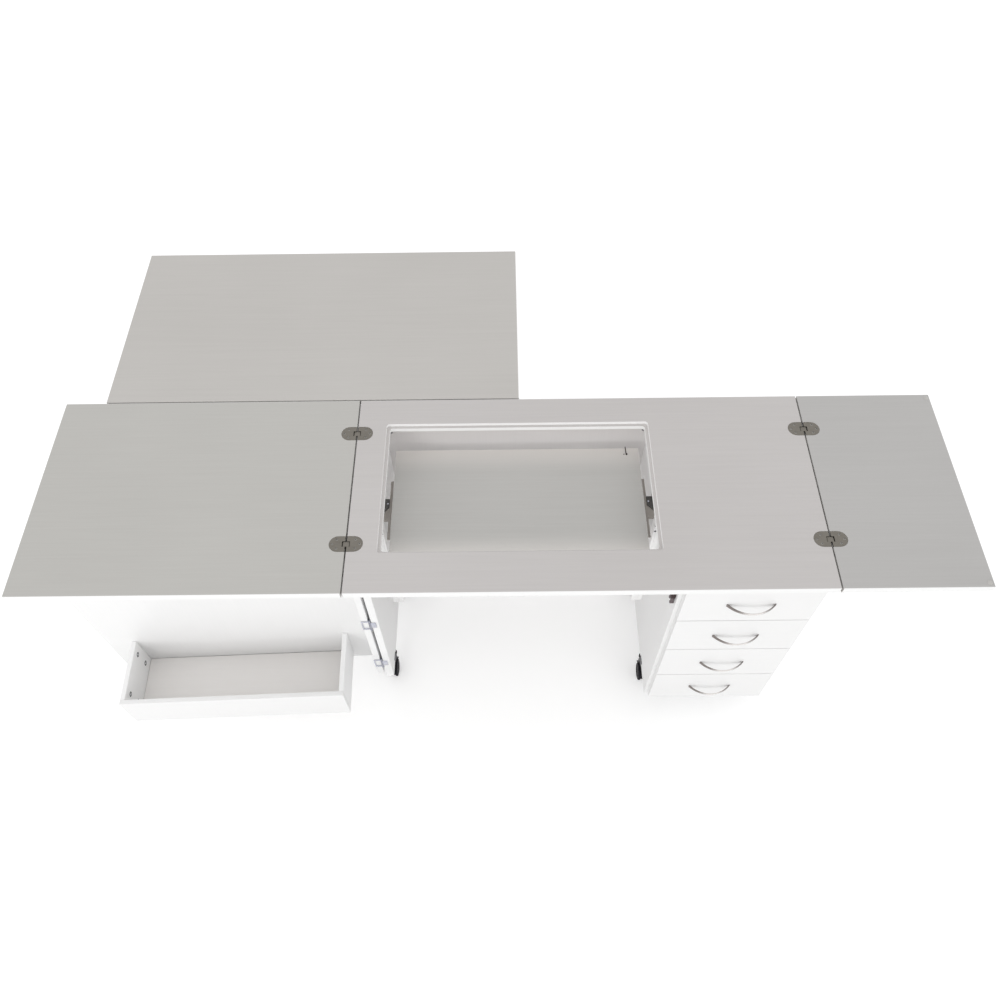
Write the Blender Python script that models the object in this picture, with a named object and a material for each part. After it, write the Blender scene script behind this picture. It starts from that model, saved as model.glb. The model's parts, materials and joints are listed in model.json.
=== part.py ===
"""Fold-away sewing cabinet, in metres, +Z up, standing on its casters.

The layout frame has x = 0 at the left edge of the centre top, y = 0 at its front edge and
z = 0 on the floor. One empty carries everything and puts the middle of the footprint at
the world origin. Every moving piece hangs on an empty that sits on its joint's axis.
"""
import math
from dataclasses import dataclass

import bmesh
import bpy
from mathutils import Matrix, Vector

# Running and seating gaps
GAP = 0.0003
RUNNING_GAP = 0.0005

# Boards
BOARD = 0.018
FRONT_BOARD = 0.016
BACK_BOARD = 0.012
BIN_BOARD = 0.012
DRAWER_WALL = 0.012
DRAWER_BASE = 0.006

# Tops
TOP_HEIGHT = 0.768
TOP_DEPTH = 0.508
CENTRE_WIDTH = 1.022
LEFT_LEAF_WIDTH = 0.694
RIGHT_LEAF_WIDTH = 0.310
LEAF_SEAM = 0.003

# Lift opening in the centre top, with a stepped rim
OPENING_LEFT = 0.065
OPENING_FRONT = 0.095
OPENING_WIDTH = 0.6035
OPENING_REAR_MARGIN = 0.0715
OPENING_RADIUS = 0.007
RIM_LEDGE = 0.007
RIM_STEP = 0.008

# Flush link hinges between the centre top and its leaves
HINGE_FRONT_INSET = 0.118
HINGE_REAR_INSET = 0.097
HINGE_HALF_LENGTH = 0.036
HINGE_HALF_WIDTH = 0.019
HINGE_PLATE = 0.0025
HINGE_PIVOT_OFFSET = 0.0055
HINGE_PIVOT_DROP = 0.0035
LINK_WIDTH = 0.012
LINK_RADIUS = 0.0022
LINK_SIDE_GAP = 0.0004
LUG_WIDTH = 0.0045
LUG_WALL = 0.0014
LINK_PIN_RADIUS = 0.0011

# Carcass
PANEL_INSET = 0.0093
LEFT_PANEL_FRONT = 0.0911
FRONT_PLANE = 0.020
PEDESTAL_LEFT = 0.708
PEDESTAL_RIGHT_INSET = 0.008
BACK_INSET = 0.060
FLOOR_BOARD = 0.016
FLOOR_SETBACK = 0.010

# Drawers
DRAWER_COUNT = 4
DRAWER_TOP_REVEAL = 0.0146
DRAWER_BOTTOM_REVEAL = 0.0124
DRAWER_SEAM = 0.003
DRAWER_OVERLAY_INSET = 0.009
DRAWER_BOX_HEIGHT = 0.110
DRAWER_BOX_RISE = 0.016
DRAWER_REAR_GAP = 0.0317
DRAWER_SIDE_GAP = 0.002
RUNNER_HEIGHT = 0.010
RUNNER_SETBACK = 0.024
GROOVE_DEPTH = 0.008
HANDLE_WIDTH = 0.1055
HANDLE_REACH = 0.024
HANDLE_RADIUS = 0.003

# Door with its storage bin, hung on three butt hinges
DOOR_AJAR = math.radians(1.9)
DOOR_SEAM = 0.003
DOOR_TOP_GAP = 0.001
STILE = 0.016
BIN_FROM_HINGE = 0.084
BIN_LENGTH = 0.560
BIN_DEPTH = 0.170
BIN_HEIGHT = 0.124
BIN_RISE = 0.030
DOOR_RISE = 0.010
BUTT_COUNT = 3
BUTT_LOW_INSET = 0.073
BUTT_HIGH_INSET = 0.091
BUTT_HEIGHT = 0.056
BUTT_LEAF = 0.0015
BUTT_FRAME_WIDTH = 0.020
BUTT_TONGUE_WIDTH = 0.0130
BUTT_KNUCKLE_RADIUS = 0.0028
BUTT_PIN_RADIUS = 0.0012
BUTT_END_KNUCKLE = 0.012
BUTT_GAP = 0.0004
CATCH_WIDTH = 0.010
CATCH_DEPTH = 0.020
CATCH_HEIGHT = 0.050
CATCH_SETBACK = 0.009
CATCH_DROP = 0.088

# Machine lift
PLATFORM_CLEARANCE = 0.006
LIFT_DROP = 0.085
LIFT_FLUSH = 0.003
LIFT_DOWN = 0.175
POST_SETBACK = 0.0075
POST_BOARD = 0.016
POST_FRONT = 0.2127
POST_BOTTOM = 0.298
FOOT_REACH = 0.0115
FOOT_DEPTH = 0.030
FOOT_HEIGHT = 0.030
CROSS_BAR_HEIGHT = 0.040
CROSS_BAR_DEPTH = 0.014
CROSS_BAR_SETBACK = 0.007
SLIDER_WIDTH = 0.058
SLIDER_HEIGHT = 0.100
SLIDER_GROOVE = 0.0055
SLIDER_SETBACK = 0.026
BRIDGE_PLATE = 0.006
FLANGE_LENGTH = 0.159
FLANGE_REACH = 0.0075
FLANGE_UNDER = 0.022
FLANGE_PLATE = 0.004
SPRING_INSET = 0.060
SPRING_RADIUS = 0.011
SPRING_BITE = 0.003
SPRING_BORE = 0.0045
SPRING_ROD = 0.0035
SPRING_END = 0.010
SPRING_ENGAGED = 0.018
SPRING_ARM_WIDTH = 0.012
SPRING_ARM_DROP = 0.012
SPRING_ARM_LAP = 0.008
SPRING_ARM_CLEAR = 0.008

# Twin-wheel casters
CASTER_HEIGHT = 0.090
WHEEL_RADIUS = 0.025
WHEEL_WIDTH = 0.0085
WHEEL_EASE = 0.003
CASTER_TRAIL = 0.018
SPINDLE_RADIUS = 0.004
WEB = 0.005
WEB_GAP = 0.0006
WEB_BOSS = 0.010
HOOD_GAP = 0.002
HOOD_WALL = 0.003
HOOD_SPREAD = 70.0
NECK_RADIUS = 0.010
NECK_ROOT = 0.010
COLLAR_RADIUS = 0.0125
COLLAR = 0.003
CASTER_FRONT_INSET_LEFT = 0.070
CASTER_FRONT_INSET_PEDESTAL = 0.106
CASTER_REAR_INSET = 0.030
# how far each caster has trailed round from straight ahead, in degrees seen from above
CASTER_TURNS = {
    "left_front": 0.0, "left_rear": 8.0,
    "middle_front": 0.0, "middle_rear": -6.0,
    "right_front": -5.0, "right_rear": 10.0,
}

# Quilt leaf that slides along the back and folds down
QUILT_WIDTH = 0.976
QUILT_DEPTH = 0.507
QUILT_GAP = 0.003
QUILT_LEFT = -0.6036
RAIL_END_INSET = 0.020
RAIL_DROP = 0.033
RAIL_HEAD_HEIGHT = 0.030
RAIL_HEAD = 0.004
RAIL_WEB_HEIGHT = 0.014
RAIL_WEB = 0.008
CARRIAGE_WALL = 0.004
CARRIAGE_LENGTH = 0.330
CARRIAGE_FROM_RIGHT = 0.013
CARRIAGE_LIP = 0.006
SHELF_PLATE = 0.005
STRAP_PLATE = 0.0025
STRAP_REACH = 0.046
PIANO_RADIUS = 0.0035
PIANO_PIN_RADIUS = 0.0015
PIANO_BORE_RADIUS = 0.0019
PIANO_KNUCKLES = 7
PIANO_END_GAP = 0.0005

# Facets on round pieces
ARC_STEPS = 10
SMALL_ARC_STEPS = 6
PIN_SIDES = 12
WHEEL_SIDES = 24

PAST = 0.002


@dataclass
class Carrier:
    """An empty on a joint's axis, and where that axis is in the layout frame."""

    empty: bpy.types.Object
    pivot: Vector


def derived():
    """Returns the places that several sub-assemblies share."""
    d = {}
    d["top_under"] = TOP_HEIGHT - BOARD
    d["panel_top"] = d["top_under"] - GAP
    d["left_panel_inner"] = PANEL_INSET + BOARD
    d["carcass_right"] = CENTRE_WIDTH - PEDESTAL_RIGHT_INSET
    d["pedestal_front"] = FRONT_PLANE + FRONT_BOARD + RUNNING_GAP
    d["back_front"] = TOP_DEPTH - BACK_INSET
    d["panel_rear"] = d["back_front"] - GAP
    d["back_rear"] = d["back_front"] + BACK_BOARD
    d["drawer_rear"] = d["back_front"] - DRAWER_REAR_GAP
    d["fronts_top"] = d["top_under"] - DRAWER_TOP_REVEAL
    d["fronts_bottom"] = CASTER_HEIGHT + DRAWER_BOTTOM_REVEAL
    d["fronts_left"] = PEDESTAL_LEFT + DRAWER_OVERLAY_INSET
    d["butt_half"] = BUTT_LEAF / 2 + GAP
    d["door_x"] = PANEL_INSET - BUTT_KNUCKLE_RADIUS - RUNNING_GAP
    d["door_y"] = LEFT_PANEL_FRONT - d["butt_half"]
    d["door_inner"] = 2 * d["door_y"] - FRONT_PLANE - FRONT_BOARD
    d["door_hinge_edge"] = 2 * d["door_x"] - PANEL_INSET
    d["door_free_edge"] = 2 * d["door_x"] - (d["fronts_left"] - DOOR_SEAM)
    d["door_top"] = d["top_under"] - DOOR_TOP_GAP
    d["door_bottom"] = d["fronts_bottom"] + DOOR_RISE
    d["bin_front"] = d["door_inner"] - GAP - BIN_DEPTH
    d["bin_right"] = d["door_x"] - BIN_FROM_HINGE
    d["bin_left"] = d["bin_right"] - BIN_LENGTH
    d["opening_right"] = OPENING_LEFT + OPENING_WIDTH
    d["opening_rear"] = TOP_DEPTH - OPENING_REAR_MARGIN
    d["quilt_front"] = TOP_DEPTH + QUILT_GAP
    d["quilt_rear"] = d["quilt_front"] + QUILT_DEPTH
    return d


D = derived()


def footprint_shift():
    """Returns the offset that puts the middle of the footprint at the world origin."""
    sine, cosine = math.sin(DOOR_AJAR), math.cos(DOOR_AJAR)
    across = D["door_free_edge"] - D["door_x"]
    outer = D["door_inner"] + FRONT_BOARD - D["door_y"]
    door_corner = D["door_x"] + across * cosine - outer * sine
    left = min(-LEAF_SEAM - LEFT_LEAF_WIDTH, QUILT_LEFT, door_corner)
    right = CENTRE_WIDTH + LEAF_SEAM + RIGHT_LEAF_WIDTH
    reach = D["bin_left"] - D["door_x"]
    inward = D["bin_front"] - D["door_y"]
    bin_corner = D["door_y"] + reach * sine + inward * cosine
    front = min(bin_corner, FRONT_PLANE - HANDLE_REACH, 0.0)
    return Vector((-(left + right) / 2, -(front + D["quilt_rear"]) / 2, 0.0))


# Scene and finishes

def clear_scene():
    """Removes every object that the scene starts with."""
    for old in list(bpy.data.objects):
        bpy.data.objects.remove(old, do_unlink=True)


def new_collection(name):
    """Returns a new collection in the scene."""
    collection = bpy.data.collections.new(name)
    bpy.context.scene.collection.children.link(collection)
    return collection


def finish(name, colour, roughness, metallic=0.0):
    """Returns a Principled material."""
    material = bpy.data.materials.new(name)
    material.use_nodes = True
    shader = material.node_tree.nodes["Principled BSDF"]
    shader.inputs["Base Color"].default_value = (*colour, 1.0)
    shader.inputs["Roughness"].default_value = roughness
    shader.inputs["Metallic"].default_value = metallic
    return material


clear_scene()
PARTS = new_collection("sewing_cabinet")
CUTTERS = new_collection("cutters")
FINISHES = {
    "laminate": finish("white_laminate", (0.60, 0.59, 0.57), 0.45),
    "white": finish("white_board", (0.84, 0.84, 0.83), 0.50),
    "platform": finish("grey_platform", (0.52, 0.50, 0.49), 0.50),
    "nickel": finish("satin_nickel", (0.58, 0.55, 0.52), 0.32, 1.0),
    "zinc": finish("dull_zinc", (0.36, 0.35, 0.31), 0.45, 1.0),
    "steel": finish("grey_steel", (0.50, 0.50, 0.51), 0.40, 1.0),
    "catch": finish("brown_steel", (0.13, 0.09, 0.08), 0.45, 0.8),
    "tread": finish("black_plastic", (0.02, 0.02, 0.023), 0.50),
}


# Modelling helpers

def carrier(name, pivot, parent=None, turn=0.0):
    """Returns a Carrier on an axis, turned about +Z by an angle."""
    empty = bpy.data.objects.new(name, None)
    PARTS.objects.link(empty)
    pivot = Vector(pivot)
    if parent is not None:
        empty.parent = parent.empty
        empty.location = pivot - parent.pivot
    else:
        empty.location = pivot
    empty.rotation_euler = (0.0, 0.0, turn)
    return Carrier(empty, pivot)


def place(name, mesh, centre, on, finish_name=None):
    """Links a mesh as a part, or as a cutter when it has no finish."""
    obj = bpy.data.objects.new(name, mesh)
    obj.parent = on.empty
    obj.location = Vector(centre) - on.pivot
    if finish_name is None:
        CUTTERS.objects.link(obj)
        obj.hide_render = True
        obj.display_type = "WIRE"
    else:
        PARTS.objects.link(obj)
        mesh.materials.append(FINISHES[finish_name])
    return obj


def to_mesh(name, bm):
    """Turns a bmesh into a mesh with its faces pointing out."""
    bmesh.ops.recalc_face_normals(bm, faces=bm.faces)
    mesh = bpy.data.meshes.new(name)
    bm.to_mesh(mesh)
    bm.free()
    return mesh


def box(name, low, high, on, finish_name=None, corner=0.0):
    """Places a box between two corners, with its upright edges rounded if asked."""
    low, high = Vector(low), Vector(high)
    bm = bmesh.new()
    bmesh.ops.create_cube(bm, size=1.0)
    bmesh.ops.scale(bm, vec=high - low, verts=bm.verts)
    if corner > 0.0:
        upright = [e for e in bm.edges if abs(e.verts[0].co.z - e.verts[1].co.z) > GAP]
        bmesh.ops.bevel(bm, geom=upright, offset=corner, segments=ARC_STEPS // 2,
                        profile=0.5, affect="EDGES")
    return place(name, to_mesh(name, bm), (low + high) / 2, on, finish_name)


def rod(name, start, end, radius, on, finish_name=None, sides=PIN_SIDES):
    """Places a round bar between two points."""
    start, end = Vector(start), Vector(end)
    along = end - start
    bm = bmesh.new()
    turn = along.to_track_quat("Z", "Y").to_matrix().to_4x4()
    bmesh.ops.create_cone(bm, cap_ends=True, segments=sides, radius1=radius,
                          radius2=radius, depth=along.length, matrix=turn)
    return place(name, to_mesh(name, bm), (start + end) / 2, on, finish_name)


def arc(centre, radius, start_deg, end_deg, steps=ARC_STEPS):
    """Returns points along an arc, both ends included."""
    points = []
    for i in range(steps + 1):
        angle = math.radians(start_deg + (end_deg - start_deg) * i / steps)
        points.append((centre[0] + radius * math.cos(angle), centre[1] + radius * math.sin(angle)))
    return points


# how an outline's two directions and its thickness lie in the layout frame
FLAT = Matrix.Identity(3)
ALONG_X = Matrix(((0, 0, 1), (1, 0, 0), (0, 1, 0)))
ALONG_Y = Matrix(((1, 0, 0), (0, 0, -1), (0, 1, 0)))


def plate(name, outline, thickness, centre, on, finish_name=None, lie=FLAT):
    """Places a flat outline of even thickness, made as a filled curve."""
    curve = bpy.data.curves.new(name, "CURVE")
    curve.dimensions = "2D"
    curve.fill_mode = "BOTH"
    curve.extrude = thickness / 2
    spline = curve.splines.new("POLY")
    spline.points.add(len(outline) - 1)
    for point, (u, v) in zip(spline.points, outline):
        point.co = (u, v, 0.0, 1.0)
    spline.use_cyclic_u = True
    drawn = bpy.data.objects.new(name, curve)
    bpy.context.scene.collection.objects.link(drawn)
    graph = bpy.context.evaluated_depsgraph_get()
    mesh = bpy.data.meshes.new_from_object(drawn.evaluated_get(graph))
    bpy.data.objects.remove(drawn, do_unlink=True)
    bpy.data.curves.remove(curve)
    bm = bmesh.new()
    bm.from_mesh(mesh)
    bpy.data.meshes.remove(mesh)
    bmesh.ops.remove_doubles(bm, verts=bm.verts, dist=0.00001)
    bmesh.ops.transform(bm, matrix=lie.to_4x4(), verts=bm.verts)
    return place(name, to_mesh(name, bm), centre, on, finish_name)


def combine(target, others, operation):
    """Adds one Boolean for each of the other shapes."""
    for other in others:
        step = target.modifiers.new(operation.lower(), "BOOLEAN")
        step.operation = operation
        step.solver = "EXACT"
        step.object = other
    return target


def join(target, *others):
    """Unites shapes into one piece."""
    return combine(target, others, "UNION")


def cut(target, *others):
    """Cuts shapes out of a piece."""
    return combine(target, others, "DIFFERENCE")


# Tops and their flush hinges

@dataclass
class Seam:
    """One seam between the centre top and a leaf."""

    name: str
    centre: float
    out: int

    def pivot_x(self, side):
        """Returns the x of the pivot in the centre top (-1) or in the leaf (+1)."""
        return self.centre + side * self.out * HINGE_PIVOT_OFFSET


SEAMS = (
    Seam("left", -LEAF_SEAM / 2, -1),
    Seam("right", CENTRE_WIDTH + LEAF_SEAM / 2, 1),
)
HINGE_ROWS = {"front": HINGE_FRONT_INSET, "rear": TOP_DEPTH - HINGE_REAR_INSET}
NOTCH_HALF = LINK_WIDTH / 2 + LINK_SIDE_GAP
LUG_OUTER = NOTCH_HALF + LUG_WIDTH
LUG_END = HINGE_PIVOT_OFFSET + LINK_RADIUS + RUNNING_GAP + LUG_WALL
LUG_BOTTOM = HINGE_PIVOT_DROP + LINK_RADIUS + RUNNING_GAP
PIVOT_Z = TOP_HEIGHT - HINGE_PIVOT_DROP


def half_stadium(start, end, half_width, sign):
    """Returns the outline of a plate with a round far end, leading away from the seam."""
    middle = end - half_width
    points = [(start, -half_width)]
    points += arc((middle, 0.0), half_width, -90.0, 90.0)
    points += [(start, half_width)]
    return [(sign * u, v) for u, v in points]


def mortise(board, seam, row, y, side, on):
    """Sinks a hinge's recess and its deeper link pocket into a board's edge."""
    sign = side * seam.out
    label = f"{seam.name}_{row}_{'leaf' if side > 0 else 'centre'}"
    recess_deep = HINGE_PLATE + GAP
    outline = half_stadium(LEAF_SEAM / 2 - PAST, HINGE_HALF_LENGTH + GAP,
                           HINGE_HALF_WIDTH + GAP, sign)
    recess = plate(f"{label}_recess", outline, recess_deep + PAST,
                   (seam.centre, y, TOP_HEIGHT + (PAST - recess_deep) / 2), on)
    near = seam.centre + sign * (LEAF_SEAM / 2 - PAST)
    far = seam.centre + sign * (LUG_END + GAP)
    half = LUG_OUTER + GAP
    pocket = box(f"{label}_pocket",
                 (min(near, far), y - half, TOP_HEIGHT - LUG_BOTTOM - GAP),
                 (max(near, far), y + half, TOP_HEIGHT + PAST), on)
    cut(board, recess, pocket)


def hinge_plate(seam, row, y, side, on):
    """Makes one half of a flush hinge, with two lugs that hold a pivot of the link."""
    sign = side * seam.out
    name = f"{seam.name}_{row}_hinge_{'leaf' if side > 0 else 'centre'}_plate"
    start = LEAF_SEAM / 2 + GAP
    half = half_stadium(start, HINGE_HALF_LENGTH, HINGE_HALF_WIDTH, sign)
    body = plate(name, half, HINGE_PLATE,
                 (seam.centre, y, TOP_HEIGHT - HINGE_PLATE / 2), on, "zinc")
    near = seam.centre + sign * start
    far = seam.centre + sign * LUG_END
    lugs = box(f"{name}_lugs", (min(near, far), y - LUG_OUTER, TOP_HEIGHT - LUG_BOTTOM),
               (max(near, far), y + LUG_OUTER, TOP_HEIGHT - HINGE_PLATE / 2), on)
    notch_end = seam.centre + sign * (LUG_END - LUG_WALL)
    notch_start = seam.centre + sign * (start - PAST)
    notch = box(f"{name}_notch",
                (min(notch_start, notch_end), y - NOTCH_HALF, TOP_HEIGHT - LUG_BOTTOM - PAST),
                (max(notch_start, notch_end), y + NOTCH_HALF, TOP_HEIGHT + PAST), on)
    x = seam.pivot_x(side)
    bore = rod(f"{name}_bore", (x, y - LUG_OUTER - PAST, PIVOT_Z),
               (x, y + LUG_OUTER + PAST, PIVOT_Z), LINK_PIN_RADIUS + GAP, on)
    join(body, lugs)
    cut(body, notch, bore)


def hinge_link(seam, row, y, on):
    """Makes the short bar that bridges the seam, with a pin at each end."""
    name = f"{seam.name}_{row}_hinge_link"
    reach = HINGE_PIVOT_OFFSET
    outline = arc((reach, 0.0), LINK_RADIUS, -90.0, 90.0, SMALL_ARC_STEPS)
    outline += arc((-reach, 0.0), LINK_RADIUS, 90.0, 270.0, SMALL_ARC_STEPS)
    bar = plate(name, outline, LINK_WIDTH, (seam.centre, y, PIVOT_Z), on, "zinc", ALONG_Y)
    pins = []
    for side in (-1, 1):
        x = seam.pivot_x(side)
        pins.append(rod(f"{name}_pin_{side}", (x, y - LUG_OUTER + GAP, PIVOT_Z),
                        (x, y + LUG_OUTER - GAP, PIVOT_Z), LINK_PIN_RADIUS, on))
    join(bar, *pins)


def build_tops(root):
    """Makes the centre top, both folding leaves and the four hinges between them."""
    low_z, high_z = TOP_HEIGHT - BOARD, TOP_HEIGHT
    centre = box("centre_top", (0.0, 0.0, low_z), (CENTRE_WIDTH, TOP_DEPTH, high_z), root, "laminate")
    rim = box("opening_rim", (OPENING_LEFT, OPENING_FRONT, high_z - RIM_STEP),
              (D["opening_right"], D["opening_rear"], high_z + PAST), root, corner=OPENING_RADIUS)
    through = box("opening_through",
                  (OPENING_LEFT + RIM_LEDGE, OPENING_FRONT + RIM_LEDGE, low_z - PAST),
                  (D["opening_right"] - RIM_LEDGE, D["opening_rear"] - RIM_LEDGE, high_z + PAST),
                  root, corner=OPENING_RADIUS)
    cut(centre, rim, through)
    widths = {"left": LEFT_LEAF_WIDTH, "right": RIGHT_LEAF_WIDTH}
    for seam in SEAMS:
        link_axis = carrier(f"{seam.name}_link_axis", (seam.pivot_x(-1), 0.0, PIVOT_Z), root)
        leaf_axis = carrier(f"{seam.name}_leaf_axis", (seam.pivot_x(1), 0.0, PIVOT_Z), link_axis)
        near = seam.centre + seam.out * LEAF_SEAM / 2
        far = near + seam.out * widths[seam.name]
        leaf = box(f"{seam.name}_leaf", (min(near, far), 0.0, low_z),
                   (max(near, far), TOP_DEPTH, high_z), leaf_axis, "laminate")
        for row, y in HINGE_ROWS.items():
            mortise(centre, seam, row, y, -1, root)
            mortise(leaf, seam, row, y, 1, leaf_axis)
            hinge_plate(seam, row, y, -1, root)
            hinge_link(seam, row, y, link_axis)
            hinge_plate(seam, row, y, 1, leaf_axis)


# Carcass and drawers

def front_height():
    """Returns the height of one drawer front."""
    room = D["fronts_top"] - D["fronts_bottom"] - (DRAWER_COUNT - 1) * DRAWER_SEAM
    return room / DRAWER_COUNT


def drawer_bottom(number):
    """Returns the lower edge of a drawer front, counted from the top."""
    step = front_height() + DRAWER_SEAM
    return D["fronts_top"] - front_height() - (number - 1) * step


def runner_low(number):
    """Returns the lower edge of a drawer's side runners."""
    return drawer_bottom(number) + DRAWER_BOX_RISE + (DRAWER_BOX_HEIGHT - RUNNER_HEIGHT) / 2


def build_carcass(root):
    """Makes the upright panels, the back and the pedestal's floor."""
    low_z, high_z = CASTER_HEIGHT, D["panel_top"]
    box("left_side_panel", (PANEL_INSET, LEFT_PANEL_FRONT, low_z),
        (D["left_panel_inner"], D["panel_rear"], high_z), root, "white")
    right = D["carcass_right"]
    spans = {
        "pedestal_left_panel": (PEDESTAL_LEFT, PEDESTAL_LEFT + BOARD, 1),
        "pedestal_right_panel": (right - BOARD, right, -1),
    }
    runner_end = D["drawer_rear"] + PAST
    for name, (x0, x1, inner) in spans.items():
        panel = box(name, (x0, D["pedestal_front"], low_z), (x1, D["panel_rear"], high_z), root, "white")
        face = x1 if inner > 0 else x0
        deep = face - inner * GROOVE_DEPTH
        past = face + inner * PAST
        for number in range(1, DRAWER_COUNT + 1):
            z = runner_low(number)
            groove = box(f"{name}_groove_{number}",
                         (min(deep, past), D["pedestal_front"] - PAST, z - GAP),
                         (max(deep, past), runner_end, z + RUNNER_HEIGHT + GAP), root)
            cut(panel, groove)
    box("back_panel", (PANEL_INSET, D["back_front"], low_z), (right, D["back_rear"], high_z), root, "white")
    box("pedestal_floor", (PEDESTAL_LEFT + BOARD + GAP, D["pedestal_front"] + FLOOR_SETBACK, low_z),
        (right - BOARD - GAP, D["panel_rear"], low_z + FLOOR_BOARD), root, "white")


def bow_handle(name, x, z, on):
    """Makes a bow pull: a round bar bent to an arc, cut flat where it meets the front."""
    half = HANDLE_WIDTH / 2 - HANDLE_RADIUS
    rise = HANDLE_REACH - HANDLE_RADIUS
    bend = (half * half + rise * rise) / (2 * rise)
    spread = math.degrees(math.asin(half / bend))
    seat = FRONT_PLANE - GAP
    curve = bpy.data.curves.new(name, "CURVE")
    curve.dimensions = "3D"
    curve.bevel_depth = HANDLE_RADIUS
    curve.bevel_resolution = 1
    curve.use_fill_caps = True
    points = arc((0.0, bend - rise), bend, -90.0 - spread, -90.0 + spread, ARC_STEPS + 2)
    run_in = math.radians(spread)
    ends = ((points[0], -1), (points[-1], 1))
    feet = [(p[0] + s * PAST * 2 * math.cos(run_in), p[1] + PAST * 2 * math.sin(run_in)) for p, s in ends]
    points = [feet[0]] + points + [feet[1]]
    spline = curve.splines.new("POLY")
    spline.points.add(len(points) - 1)
    for point, (u, v) in zip(spline.points, points):
        point.co = (u, v, 0.0, 1.0)
    drawn = bpy.data.objects.new(name, curve)
    bpy.context.scene.collection.objects.link(drawn)
    graph = bpy.context.evaluated_depsgraph_get()
    mesh = bpy.data.meshes.new_from_object(drawn.evaluated_get(graph))
    bpy.data.objects.remove(drawn, do_unlink=True)
    bpy.data.curves.remove(curve)
    bm = bmesh.new()
    bm.from_mesh(mesh)
    bpy.data.meshes.remove(mesh)
    bmesh.ops.remove_doubles(bm, verts=bm.verts, dist=0.00001)
    pull = place(name, to_mesh(name, bm), (x, seat, z), on, "nickel")
    trim = box(f"{name}_trim", (x - HANDLE_WIDTH, seat, z - HANDLE_WIDTH),
               (x + HANDLE_WIDTH, seat + HANDLE_WIDTH, z + HANDLE_WIDTH), on)
    cut(pull, trim)
    pull.data.materials.clear()
    pull.data.materials.append(FINISHES["nickel"])


def build_drawer(number, root):
    """Makes one drawer: overlay front, open box with side runners, and bow pull."""
    z = drawer_bottom(number)
    right = D["carcass_right"]
    middle = (D["fronts_left"] + right) / 2
    on = carrier(f"drawer_{number}_slide", (middle, FRONT_PLANE, z), root)
    back_of_front = FRONT_PLANE + FRONT_BOARD
    box(f"drawer_{number}_front", (D["fronts_left"], FRONT_PLANE, z),
        (right, back_of_front, z + front_height()), on, "white")
    x0 = PEDESTAL_LEFT + BOARD + DRAWER_SIDE_GAP
    x1 = right - BOARD - DRAWER_SIDE_GAP
    y0 = back_of_front + GAP
    y1 = D["drawer_rear"]
    low_z = z + DRAWER_BOX_RISE
    high_z = low_z + DRAWER_BOX_HEIGHT
    tray = box(f"drawer_{number}_box", (x0, y0, low_z), (x1, y1, high_z), on, "white")
    reach = DRAWER_SIDE_GAP + GROOVE_DEPTH - RUNNING_GAP
    runner = box(f"drawer_{number}_runners", (x0 - reach, y0 + RUNNER_SETBACK, runner_low(number)),
                 (x1 + reach, y1 - RUNNER_SETBACK, runner_low(number) + RUNNER_HEIGHT), on)
    inside = box(f"drawer_{number}_inside",
                 (x0 + DRAWER_WALL, y0 + DRAWER_WALL, low_z + DRAWER_BASE),
                 (x1 - DRAWER_WALL, y1 - DRAWER_WALL, high_z + PAST), on)
    join(tray, runner)
    cut(tray, inside)
    bow_handle(f"drawer_{number}_handle", middle, z + front_height() / 2, on)


# Door, storage bin and butt hinges

def butt_heights():
    """Returns the middle height of each butt hinge, from the lowest up."""
    low = D["door_bottom"] + BUTT_LOW_INSET
    high = D["door_top"] - BUTT_HIGH_INSET
    return [low + (high - low) * i / (BUTT_COUNT - 1) for i in range(BUTT_COUNT)]


def butt_hinge(name, z, root, door):
    """Makes a surface butt hinge: a tongue on the panel that nests in a frame on the door."""
    x, y = D["door_x"], D["door_y"]
    half = BUTT_LEAF / 2
    low, high = z - BUTT_HEIGHT / 2, z + BUTT_HEIGHT / 2
    mid_low, mid_high = low + BUTT_END_KNUCKLE, high - BUTT_END_KNUCKLE
    bore = BUTT_PIN_RADIUS + GAP
    edge = BUTT_KNUCKLE_RADIUS + RUNNING_GAP
    # panel leaf: middle knuckle, tongue and pin
    knuckle = rod(f"{name}_panel_leaf", (x, y, mid_low + BUTT_GAP), (x, y, mid_high - BUTT_GAP),
                  BUTT_KNUCKLE_RADIUS, root, "nickel")
    tongue = box(f"{name}_tongue", (x, y - half, mid_low + 2 * BUTT_GAP),
                 (x + edge + BUTT_TONGUE_WIDTH, y + half, mid_high - 2 * BUTT_GAP), root)
    pin = rod(f"{name}_pin", (x, y, low), (x, y, high), BUTT_PIN_RADIUS, root)
    join(knuckle, tongue, pin)
    # door leaf: two end knuckles and a hollow frame, open on the knuckle side
    frame = box(f"{name}_door_leaf", (x - edge - BUTT_FRAME_WIDTH, y - half, low + BUTT_GAP),
                (x, y + half, high - BUTT_GAP), door, "nickel")
    ends = [
        rod(f"{name}_low_knuckle", (x, y, low), (x, y, mid_low - BUTT_GAP), BUTT_KNUCKLE_RADIUS, door),
        rod(f"{name}_high_knuckle", (x, y, mid_high + BUTT_GAP), (x, y, high), BUTT_KNUCKLE_RADIUS, door),
    ]
    window = box(f"{name}_window",
                 (x - edge - BUTT_TONGUE_WIDTH - RUNNING_GAP, y - BUTT_KNUCKLE_RADIUS, mid_low),
                 (x + edge, y + BUTT_KNUCKLE_RADIUS, mid_high), door)
    hole = rod(f"{name}_hole", (x, y, low - PAST), (x, y, high + PAST), bore, door)
    join(frame, *ends)
    cut(frame, window, hole)


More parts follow.
